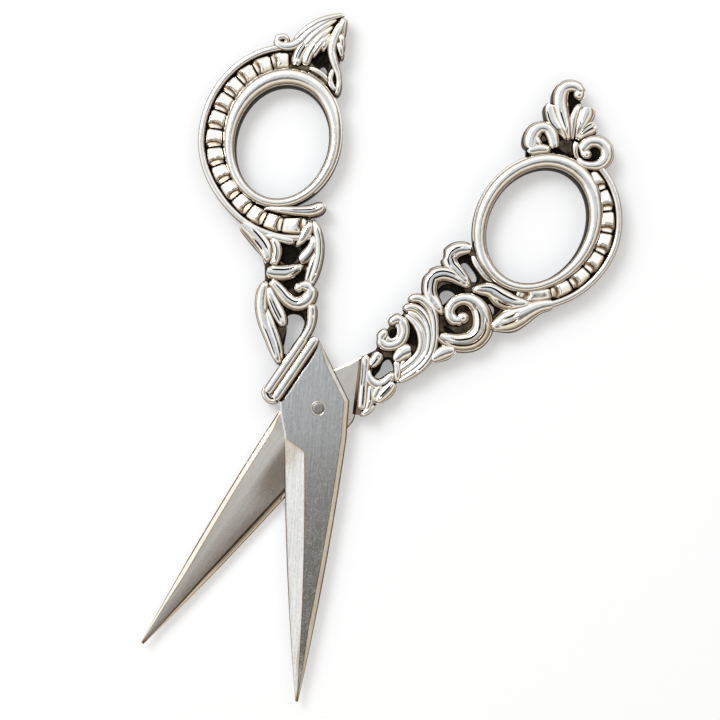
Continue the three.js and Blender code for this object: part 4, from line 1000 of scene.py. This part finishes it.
class BladeSection:
    """Section of a blade at one height, as points (x, z, painted shade); shares run from the edge to the
    back.
    """

    def __init__(self, y, shoulder, heel_dip):
        self.edge, self.back = edge_at(y, shoulder), back_at(y)
        self.wide = self.edge - self.back
        self.to_point = point_share(y)
        thickness = mix(BLADE_THICKNESS, POINT_THICKNESS, self.to_point ** POINT_TAPER)
        thinning = POINT_THINNING * smoothstep(THINNING_START, 1, self.to_point)
        self.outer = INNER_FACE - thickness * (1 - thinning)
        below_heel = -HEEL_DROP - GRIND_START - y
        self.run = smoothstep(0, GRIND_RUN_OUT, below_heel)
        self.sink = smoothstep(0, GRIND_SINK, below_heel)
        self.dip = heel_dip * (1 - smoothstep(*DIP_RUN_OUT, below_heel))
        self.at_shoulder = smoothstep(shoulder.y - SHOULDER_BLEND, shoulder.y + SHOULDER_BLEND, y)
        self.rim = fitted(EDGE_RIM, self.wide)
        self.line = fitted(GRIND_LINE, self.wide)
        self.back_bevel = fitted(BACK_BEVEL, self.wide)
        self.land = fitted(EDGE_LAND, self.wide)
        self.land_drop = LAND_SLOPE * self.land * self.run

    def face(self, share):
        """Height of the inner face, crowned and dipped towards the edge."""
        roll = EDGE_ROLL * max(0, EDGE_ROLL_SHARE - share) ** 2
        crown = FACE_CROWN * (share - FACE_CREST) ** 2 + roll
        return INNER_FACE - self.run * (crown * self.wide + self.dip * smoothstep(*DIP_ACROSS, share))

    def inner_points(self):
        """Rim of the edge darkened as a painted dark reflection, a narrow land, and a band of painted shade
        along the edge, then the inner face.
        """
        edge, rim = self.edge, self.rim
        row = []
        # Painted dark reflection on the rim of the edge
        for inset, drop, dark in ((0, 1, 1), (0.5 * rim, 0.8, 0.9), (rim, 0.6, 0)):
            row.append((edge - inset, self.face(0) - drop * self.land_drop, dark))
        row.append((edge - self.land, self.face(self.land / self.wide), 0))
        shade = fitted(EDGE_SHADE, self.wide)
        # Painted shade in a band along the edge
        for part, dark in ((0.2, 0), (0.4, self.run), (0.7, self.run), (1.0, 0)):
            away = self.land + part * shade
            row.append((edge - away, self.face(away / self.wide), dark))
        for share in FACE_SHARES:
            row.append((mix(edge, self.back, share), self.face(share), 0))
        return row

    def back_points(self):
        """The inner bevel down to the back, then the outer bevel from it, with painted shade at their grind
        lines and painted dark reflections on their rims.
        """
        back, rim, line = self.back, self.rim, self.line
        inner_bevel = min(mix(INNER_BEVEL_AT_HEEL, BEVEL_FULL, self.run), INNER_BEVEL_SHARE * self.wide)
        top = self.face(1 - inner_bevel / self.wide)
        row = []
        # Painted shade at the grind lines, painted dark reflection on the rim of the inner bevel
        for away, dark in ((-line, 0), (0, LINE_SHADE), (line, 0), (inner_bevel - rim, 0),
                           (inner_bevel - 0.5 * rim, 1), (inner_bevel, 1)):
            row.append((back + inner_bevel - away, top - INNER_SLOPE * max(0, away), dark))
        # Painted dark reflection on the rim of the back, painted shade at the grind lines
        for away, dark in ((0, 1), (0.5 * rim, 1), (rim, 0), (self.back_bevel - line, 0),
                           (self.back_bevel, LINE_SHADE), (self.back_bevel + line, 0)):
            row.append((back + away, self.outer + BACK_SLOPE * max(0, self.back_bevel - away), dark))
        return row

    def outer_points(self):
        """The outer face, then the hollow bevel down to the edge, with painted shade along the ridge and a
        painted dark reflection on the rim of the edge.
        """
        bevel = min(mix(BEVEL_AT_CHOIL, BEVEL_FULL, self.at_shoulder), OUTER_BEVEL_SHARE * self.wide)
        ridge = min(GRIND_INSET * (1 - self.to_point) ** 2, self.edge - RIDGE_FROM_EDGE)
        inner = mix(self.edge - bevel, ridge, self.run)
        ground_foot = self.face(0) - self.land_drop - EDGE_FOOT
        foot = mix(self.outer + BEVEL_DROP * bevel / BEVEL_FULL, ground_foot, self.sink)
        middle = mix(self.back + self.back_bevel, inner, 0.5)
        row = [(middle, self.outer, 0), (inner - self.line, self.outer, 0)]
        # Painted shade along the ridge, painted dark reflection on the rim of the edge
        ridge_shade = LINE_SHADE * min(1, 3 * self.run)
        for share, dark in ((0, ridge_shade), (0.05, 0), (0.25, 0), (0.5, 0), (0.75, 0), (0.92, 0),
                            (0.96, RIM_SHADE), (1, 1)):
            hollow = HOLLOW_DEPTH * self.sink * 4 * share * (1 - share) * min(1, self.wide / HOLLOW_WIDTH)
            row.append((mix(inner, self.edge, share), mix(self.outer, foot, share) + hollow, dark))
        return row


def blade_row(y, shoulder, heel_dip):
    """Closed loop round the blade at one height, darker at the very point."""
    section = BladeSection(y, shoulder, heel_dip)
    row = section.inner_points() + section.back_points() + section.outer_points()
    # Darker towards the very point
    point_dark = POINT_DARKENING * smoothstep(*POINT_DARKENING_RUN, section.to_point)
    return [(Vector((x, y, z)), max(dark, point_dark)) for x, z, dark in row]


def blade_mesh(heel_low, heel_dip):
    shoulder = bolster_point(BOLSTER_STANDOFF, heel_low)
    top = bolster_point(BOLSTER_STANDOFF, BOLSTER_TOP).y - TOP_INSET
    start = -HEEL_DROP - GRIND_START
    heights = [top]
    for stop, steps in ((BACK_CORNER_UP, 12), (start, 14), (start - GRIND_RUN_OUT, 18), (-BLADE_LENGTH, 40)):
        begin = heights[-1]
        heights += [mix(begin, stop, i / steps) for i in range(1, steps + 1)]
    bm = bmesh.new()
    loft(bm, [blade_row(y, shoulder, heel_dip) for y in heights])
    return bm


def drill(bm, name):
    """Cuts the pivot hole."""
    low = INNER_FACE - BLADE_THICKNESS - DRILL_REACH
    high = INNER_FACE + DRILL_REACH
    profile = [(0, low, 0), (PIVOT_HOLE, low, 0), (PIVOT_HOLE, high, 0), (0, high, 0)]
    solid = mesh_object(bm, name + "_blank")
    tool = mesh_object(turned(profile, DRILL_STEPS), name + "_drill")
    cut = solid.modifiers.new("drill", "BOOLEAN")
    cut.operation = "DIFFERENCE"
    cut.solver = "EXACT"
    cut.object = tool
    bpy.context.view_layer.update()
    drilled = bmesh.new()
    drilled.from_object(solid, bpy.context.evaluated_depsgraph_get())
    for spare in (solid, tool):
        bpy.data.objects.remove(spare)
    return drilled


# Rivet

def rounding(points, radius, face):
    return [(radius - inset, face + height, dark) for inset, height, dark in points]


def rivet_mesh():
    """Turned rivet: flush face towards the front blade, peened tail behind the rear one, with painted shade
    on its neck and round the edge of its face.
    """
    tail = INNER_FACE - BLADE_THICKNESS - TAIL_GAP
    face = -INNER_FACE + BLADE_THICKNESS - RIVET_SINK
    return turned([
        (0, -HANDLE_HALF, 0),
        *rounding(TAIL_ROUNDING, RIVET_TAIL_RADIUS, -HANDLE_HALF),
        (RIVET_TAIL_RADIUS, tail - TAIL_EDGE, 0),
        (RIVET_TAIL_RADIUS, tail, 0),
        (RIVET_SHAFT, tail, 0),
        # Painted shade down the neck, and in the roundings round the edge of the face
        (RIVET_SHAFT, face - RIVET_NECK, 1),
        *rounding(FACE_ROUNDING, RIVET_RADIUS, face),
    ])


def rim_mesh():
    """Burnished rim of the pivot hole, with a line of painted shade on either side."""
    face = -INNER_FACE + BLADE_THICKNESS
    profile = rounding(RIM_INNER_ROUNDING, RIM_INNER_RADIUS, face)
    profile += rounding(RIM_OUTER_ROUNDING, RIM_RADIUS, face)
    return turned(profile + profile[:1])


# Materials

WHITE = (1, 1, 1)


class Nodes:
    """Adds nodes to a tree; each input is a value or the output of another node."""

    def __init__(self, tree):
        self.tree = tree

    def add(self, kind, inputs=None, **settings):
        node = self.tree.nodes.new(kind)
        for name, value in settings.items():
            setattr(node, name, value)
        self.feed(node, inputs or {})
        return node

    def feed(self, node, inputs):
        for name, value in inputs.items():
            if isinstance(value, bpy.types.NodeSocket):
                self.tree.links.new(value, node.inputs[name])
            else:
                node.inputs[name].default_value = value

    def place(self):
        return self.add("ShaderNodeTexCoord").outputs["Object"]

    # Darkness stored on the vertices: oxide patina in some places, painted shade in others
    def patina_and_painted_shade(self):
        return self.add("ShaderNodeAttribute", attribute_name="patina_and_painted_shade").outputs["Fac"]

    def noise(self, place, scale, detail, **more):
        inputs = {"Vector": place, "Scale": scale, "Detail": detail, **more}
        return self.add("ShaderNodeTexNoise", inputs).outputs["Fac"]

    def stretched_noise(self, place, turn, width, length, detail):
        """Noise drawn out along a direction, in features of the given width and length in metres."""
        inputs = {"Vector": place, "Rotation": (0, 0, turn), "Scale": (width, length, length)}
        drawn_out = self.add("ShaderNodeMapping", inputs, vector_type="TEXTURE").outputs["Vector"]
        return self.noise(drawn_out, 1.0, detail, Roughness=0.6, Distortion=0.4)

    def eased(self, value, low, high):
        """From 0 where the value is low to 1 where it is high."""
        inputs = {"Value": value, "From Min": low, "From Max": high}
        return self.add("ShaderNodeMapRange", inputs, interpolation_type="SMOOTHSTEP").outputs["Result"]

    def between(self, value, low, high, start=0.0, end=1.0):
        """From start where the value is low to end where it is high."""
        inputs = {"Value": value, "From Min": low, "From Max": high, "To Min": start, "To Max": end}
        return self.add("ShaderNodeMapRange", inputs).outputs["Result"]

    def math(self, operation, a, b):
        return self.add("ShaderNodeMath", {0: a, 1: b}, operation=operation).outputs["Value"]

    def blend(self, a, b, factor, data_type="RGBA", blend_type="MIX"):
        inputs = {"Factor": factor, "A": a, "B": b}
        made = self.add("ShaderNodeMix", inputs, data_type=data_type, blend_type=blend_type)
        return made.outputs["Result"]

    def multiply(self, a, b):
        return self.blend(a, b, 1.0, blend_type="MULTIPLY")

    def ramp(self, share, stops):
        """Colour between stops (position, colour)."""
        made = self.add("ShaderNodeValToRGB", {"Fac": share})
        elements = made.color_ramp.elements
        elements.remove(elements[-1])
        elements[0].position = stops[0][0]
        elements[0].color = (*stops[0][1], 1)
        for position, colour in stops[1:]:
            elements.new(position).color = (*colour, 1)
        return made.outputs["Color"]

    def bump(self, height, strength, depth, **more):
        inputs = {"Height": height, "Strength": strength, "Distance": depth, **more}
        return self.add("ShaderNodeBump", inputs).outputs["Normal"]


def new_material(name):
    material = bpy.data.materials.new(name)
    material.use_nodes = True
    material.node_tree.nodes.clear()
    nodes = Nodes(material.node_tree)
    shader = nodes.add("ShaderNodeBsdfPrincipled")
    nodes.add("ShaderNodeOutputMaterial", {"Surface": shader.outputs["BSDF"]})
    return material, nodes, shader


def new_group(name, result):
    """An empty node group that puts out one value."""
    tree = bpy.data.node_groups.new(name, "ShaderNodeTree")
    tree.interface.new_socket(result, in_out="OUTPUT", socket_type="NodeSocketFloat")
    return tree, Nodes(tree)


def crevice_group():
    """Mask of the dark oxide left in crevices and incised lines, together with the painted shade and painted
    dark reflections stored on the vertices.
    """
    tree, nodes = new_group("crevice_oxide_and_painted_shade", "Mask")
    shade = nodes.add("ShaderNodeAmbientOcclusion", {"Distance": OXIDE_REACH}, samples=16)
    deep = nodes.eased(shade.outputs["AO"], *OXIDE_SHADE)
    # Darkness stored on the vertices: oxide in incised lines, painted shade and painted dark reflections
    # elsewhere
    cut = nodes.eased(nodes.patina_and_painted_shade(), *OXIDE_AND_SHADE_EASE)
    nodes.add("NodeGroupOutput", {"Mask": nodes.math("MAXIMUM", deep, cut)})
    return tree


def scratch_group():
    """Fine stray scratches in three directions, from 0 on bare steel to 1 in a scratch."""
    tree, nodes = new_group("stray_scratches", "Scratches")
    place = nodes.place()
    most = 0.0
    for turn, width, length in SCRATCHES_EACH_WAY:
        streak = nodes.stretched_noise(place, turn, width, length, 1.0)
        most = nodes.math("MAXIMUM", nodes.eased(streak, *SCRATCH_CUT), most)
    nodes.add("NodeGroupOutput", {"Scratches": most})
    return tree


CREVICES = crevice_group()
SCRATCHES = scratch_group()


def cast_silver(name, tint_low, tint_high, polish, waviness):
    """Polished silver with dark oxide in its recesses and incised lines, painted shade and painted dark
    reflections on strand sides, ring walls, the bolster block and bead scoops, and a cast waviness.
    """
    material, nodes, shader = new_material(name)
    place = nodes.place()
    oxide_and_shade = nodes.add("ShaderNodeGroup", node_tree=CREVICES).outputs["Mask"]
    tint = nodes.ramp(nodes.noise(place, 420.0, 3.0), [(0.35, tint_low), (0.65, tint_high)])
    oxide_and_shade_colour = nodes.ramp(oxide_and_shade, [(0.0, WHITE), (0.16, (0.90, 0.79, 0.64)), (0.45, (0.36, 0.26, 0.18)),
                                 (1.0, (0.008, 0.006, 0.005))])
    waves = nodes.noise(place, 900.0, 2.0)
    nodes.feed(shader, {
        "Base Color": nodes.multiply(tint, oxide_and_shade_colour),
        "Roughness": nodes.between(oxide_and_shade, 0.0, 1.0, polish, 0.6),
        "Normal": nodes.bump(waves, waviness, CAST_BUMP),
        "Metallic": 1.0,
    })
    return material


def dark_ground():
    """Blackened cast ground with brown traces."""
    material, nodes, shader = new_material("oxidised_ground")
    patches = nodes.noise(nodes.place(), 1500.0, 4.0)
    nodes.feed(shader, {
        "Base Color": nodes.ramp(patches, [(0.4, (0.003, 0.0025, 0.002)), (0.7, (0.016, 0.012, 0.008))]),
        "Roughness": 0.55,
        "Specular IOR Level": 0.04,
        "Normal": nodes.bump(patches, 0.4, CAST_BUMP),
    })
    return material


def satin_steel(name, lean, tint_low, tint_high, smooth, dull, mottled, scratch_depth):
    """Ground steel brushed along a direction, with fine stray scratches, painted shade and painted dark
    reflections on its edges and grind lines, and darker towards the very point.
    """
    material, nodes, shader = new_material(name)
    place = nodes.place()
    brushed = nodes.stretched_noise(place, lean, *BRUSH_GRAIN, GRAIN_DETAIL)
    mottle = nodes.stretched_noise(place, lean, *MOTTLE_GRAIN, GRAIN_DETAIL)
    grain = nodes.blend(brushed, mottle, mottled, data_type="FLOAT")
    tint = nodes.ramp(grain, [(0.36, tint_low), (0.64, tint_high)])
    # Painted shade and painted dark reflections from the vertices, darker towards the very point
    shade_and_point_darkening = nodes.ramp(nodes.patina_and_painted_shade(), [(0.0, WHITE), (0.5, (0.75, 0.62, 0.47)),
                                          (1.0, (0.13, 0.095, 0.07))])
    scratches = nodes.add("ShaderNodeGroup", node_tree=SCRATCHES).outputs["Scratches"]
    shine = nodes.math("MULTIPLY", scratches, SCRATCH_SHINE)
    brush_bump = nodes.bump(brushed, *BRUSH_BUMP)
    nodes.feed(shader, {
        "Base Color": nodes.blend(nodes.multiply(tint, shade_and_point_darkening), SCRATCH_COLOUR, shine),
        "Roughness": nodes.between(mottle, 0.35, 0.65, smooth, dull),
        "Normal": nodes.bump(scratches, scratch_depth, SCRATCH_BUMP, Normal=brush_bump),
        "Metallic": 1.0,
    })
    return material


SILVER = cast_silver("cast_silver", (0.91, 0.885, 0.84), (0.96, 0.95, 0.935), polish=0.08, waviness=0.3)
WORN_SILVER = cast_silver("worn_silver", (0.015, 0.011, 0.008), (0.17, 0.13, 0.09),
                          polish=0.25, waviness=0.8)
GROUND = dark_ground()
FRONT_STEEL = satin_steel("satin_blade_steel", 0.0, (0.60, 0.60, 0.59), (0.86, 0.855, 0.84),
                          smooth=0.08, dull=0.15, mottled=0.4, scratch_depth=0.16)
REAR_STEEL = satin_steel("polished_blade_steel", -math.radians(REST_OPENING),
                         (0.90, 0.83, 0.745), (1.0, 0.93, 0.845),
                         smooth=0.06, dull=0.12, mottled=0.2, scratch_depth=0.08)
RIVET_STEEL = satin_steel("rivet_steel", 0.4, (0.30, 0.295, 0.28), (0.46, 0.45, 0.43),
                          smooth=0.2, dull=0.3, mottled=0.6, scratch_depth=0.06)


# The two halves

def front_half():
    handle = bmesh.new()
    finger_ring(handle, FRONT_BOW, FRONT_RING_FULLER, FRONT_FULLER_ANGLE)
    channel_rail(handle, FRONT_BOW, FRONT_CHANNEL, FRONT_BEAD_WIDTH)
    bead_row(handle, FRONT_BOW, FRONT_CHANNEL, FRONT_BEADS, FRONT_BEAD_WIDTH, FRONT_LAST_BEAD)
    front_shank(handle)
    front_crest(handle)
    bolster(handle, depth=3.0, low=-1.8, top=7.0, ribs=FRONT_RIBS)
    made = piece(handle, "front_handle_relief", FRONT_PLACE, SILVER, "front_half",
                 RELIEF_SHARP)
    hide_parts("front_handle")
    ground = bmesh.new()
    channel_floor(ground, FRONT_BOW, FRONT_CHANNEL, FRONT_BEAD_WIDTH)
    layer(ground, FRONT_PLAN.shank, FRONT_SHANK_OUTLINE, FRONT_SHANK_HOLES, GROUND_HALF)
    layer(ground, FRONT_PLAN.crest, FRONT_CREST_OUTLINE, FRONT_CREST_HOLES, GROUND_HALF)
    piece(ground, "front_handle_ground", FRONT_PLACE, GROUND, "front_half", LAYER_SHARP)
    web = bmesh.new()
    layer(web, FRONT_PLAN.shank, FRONT_SHANK_OUTLINE, FRONT_SHANK_RECESSES, WEB_HALF)
    layer(web, FRONT_PLAN.crest, FRONT_CREST_OUTLINE, FRONT_CREST_RECESSES, WEB_HALF)
    piece(web, "front_handle_web", FRONT_PLACE, WORN_SILVER, "front_half", LAYER_SHARP)
    blade = drill(blade_mesh(FRONT_HEEL_LOW, 0), "front_blade")
    made = piece(blade, "front_blade_ground", FRONT_PLACE, FRONT_STEEL, "front_half",
                 BLADE_SHARP)
    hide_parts("front_blade")
    rivet = rivet_mesh()
    made = piece(rivet, "pivot_rivet_turned", ON_THE_FLOOR, RIVET_STEEL, "front_half",
                 RIVET_SHARP)
    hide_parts("pivot_rivet")
    rim = rim_mesh()
    piece(rim, "front_blade_hole_rim", ON_THE_FLOOR, REAR_STEEL, "front_half", RIM_SHARP)


def rear_half():
    handle = bmesh.new()
    finger_ring(handle, REAR_BOW, REAR_RING_FULLER, REAR_FULLER_ANGLE)
    channel_rail(handle, REAR_BOW, REAR_CHANNEL, REAR_BEAD_WIDTH)
    bead_row(handle, REAR_BOW, REAR_CHANNEL, REAR_BEADS, REAR_BEAD_WIDTH, REAR_LAST_BEAD)
    rear_shank(handle)
    rear_crest(handle)
    bolster(handle, depth=2.0, low=-0.3, top=BOLSTER_TOP - SEAT_GAP)
    made = piece(handle, "rear_handle_relief", REAR_PLACE, SILVER, "rear_half",
                 RELIEF_SHARP)
    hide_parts("rear_handle")
    ground = bmesh.new()
    channel_floor(ground, REAR_BOW, REAR_CHANNEL, REAR_BEAD_WIDTH)
    layer(ground, REAR_PLAN.shank, REAR_SHANK_OUTLINE, REAR_SHANK_HOLES, GROUND_HALF)
    layer(ground, REAR_PLAN.crest, REAR_CREST_OUTLINE, [], GROUND_HALF)
    piece(ground, "rear_handle_ground", REAR_PLACE, GROUND, "rear_half", LAYER_SHARP)
    web = bmesh.new()
    layer(web, REAR_PLAN.shank, REAR_SHANK_OUTLINE, REAR_SHANK_RECESSES, WEB_HALF)
    layer(web, REAR_PLAN.crest, REAR_CREST_OUTLINE, REAR_CREST_RECESSES, WEB_HALF)
    piece(web, "rear_handle_web", REAR_PLACE, WORN_SILVER, "rear_half", LAYER_SHARP)
    blade = drill(blade_mesh(REAR_HEEL_LOW, HEEL_DIP), "rear_blade")
    made = piece(blade, "rear_blade_ground", REAR_PLACE, REAR_STEEL, "rear_half",
                 BLADE_SHARP)
    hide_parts("rear_blade")


front_half()
rear_half()


# Studio

def studio_floor():
    """White paper, with a glow of its own where the camera or a mirror sees it."""
    bm = bmesh.new()
    bmesh.ops.create_grid(bm, x_segments=1, y_segments=1, size=FLOOR_SIZE)
    floor = mesh_object(bm, "studio_floor")
    material, nodes, shader = new_material("white_paper")
    light = nodes.add("ShaderNodeLightPath")
    seen = light.outputs["Is Camera Ray"]
    for kind in ("Is Glossy Ray", "Is Transmission Ray"):
        seen = nodes.math("MAXIMUM", seen, light.outputs[kind])
    nodes.feed(shader, {
        "Base Color": (0.675, 0.70, 0.737, 1),
        "Roughness": 0.9,
        "Specular IOR Level": 0.1,
        "Emission Color": (*WHITE, 1),
        "Emission Strength": nodes.math("MULTIPLY", seen, FLOOR_GLOW),
    })
    floor.data.materials.append(material)


def studio_world():
    """Soft white surroundings, dimmer and warmer towards the lower right, and grey straight above."""
    world = bpy.data.worlds.new("studio")
    bpy.context.scene.world = world
    world.use_nodes = True
    world.node_tree.nodes.clear()
    nodes = Nodes(world.node_tree)
    way = nodes.add("ShaderNodeTexCoord").outputs["Generated"]
    height = nodes.add("ShaderNodeSeparateXYZ", {"Vector": way}).outputs["Z"]
    bright = nodes.ramp(height, [
        (0.0, (0.95, 0.95, 0.95)), (0.08, (0.9, 0.9, 0.9)), (0.16, (0.26, 0.20, 0.14)),
        (0.3, (0.28, 0.21, 0.15)), (0.44, (0.74, 0.64, 0.51)), (0.6, WHITE), (0.9, WHITE),
        (0.95, (0.68, 0.71, 0.74)), (1.0, (0.64, 0.675, 0.71)),
    ])
    dim = nodes.ramp(height, [
        (0.0, (0.95, 0.95, 0.95)), (0.08, (0.85, 0.85, 0.85)), (0.16, (0.07, 0.05, 0.04)),
        (0.3, (0.16, 0.12, 0.08)), (0.55, (0.31, 0.24, 0.17)), (0.8, (0.82, 0.74, 0.61)),
        (0.9, (0.84, 0.82, 0.79)), (0.94, (0.17, 0.16, 0.15)), (1.0, (0.20, 0.185, 0.17)),
    ])
    lean = nodes.add("ShaderNodeVectorMath", {0: way, 1: DIM_SIDE}, operation="DOT_PRODUCT").outputs["Value"]
    sky = nodes.blend(bright, dim, nodes.eased(lean, *DIM_BLEND))
    background = nodes.add("ShaderNodeBackground", {"Color": sky, "Strength": SKY_STRENGTH})
    nodes.add("ShaderNodeOutputWorld", {"Surface": background.outputs["Background"]})


def studio_lamp(name, place, aim, size, power, colour):
    data = bpy.data.lights.new(name, "AREA")
    data.shape = "DISK"
    data.size = size
    data.energy = power
    data.color = colour
    lamp = bpy.data.objects.new(name, data)
    lamp.location = place
    lamp.rotation_euler = (Vector(aim) - Vector(place)).to_track_quat("-Z", "Y").to_euler()
    bpy.context.scene.collection.objects.link(lamp)


def photo_camera():
    """Straight above the pair, turned so that the front blade leans as photographed."""
    data = bpy.data.cameras.new("photo_camera")
    data.sensor_width = CAMERA_SENSOR
    data.lens = CAMERA_SENSOR * CAMERA_DISTANCE / PHOTO_WIDTH
    data.clip_start = 0.01
    camera = bpy.data.objects.new("photo_camera", data)
    camera.location = (*PHOTO_CENTRE, CAMERA_DISTANCE + HANDLE_HALF * MM)
    camera.rotation_euler = (0, 0, math.radians(PHOTO_TURN))
    bpy.context.scene.collection.objects.link(camera)
    bpy.context.scene.camera = camera


studio_floor()
studio_world()
studio_lamp("key_softbox", place=(-0.28, 0.30, 0.55), aim=(0.0, 0.01, 0.0), size=0.34, power=2.0,
            colour=(1.0, 0.98, 0.95))
photo_camera()
bpy.context.scene.view_settings.view_transform = "Standard"
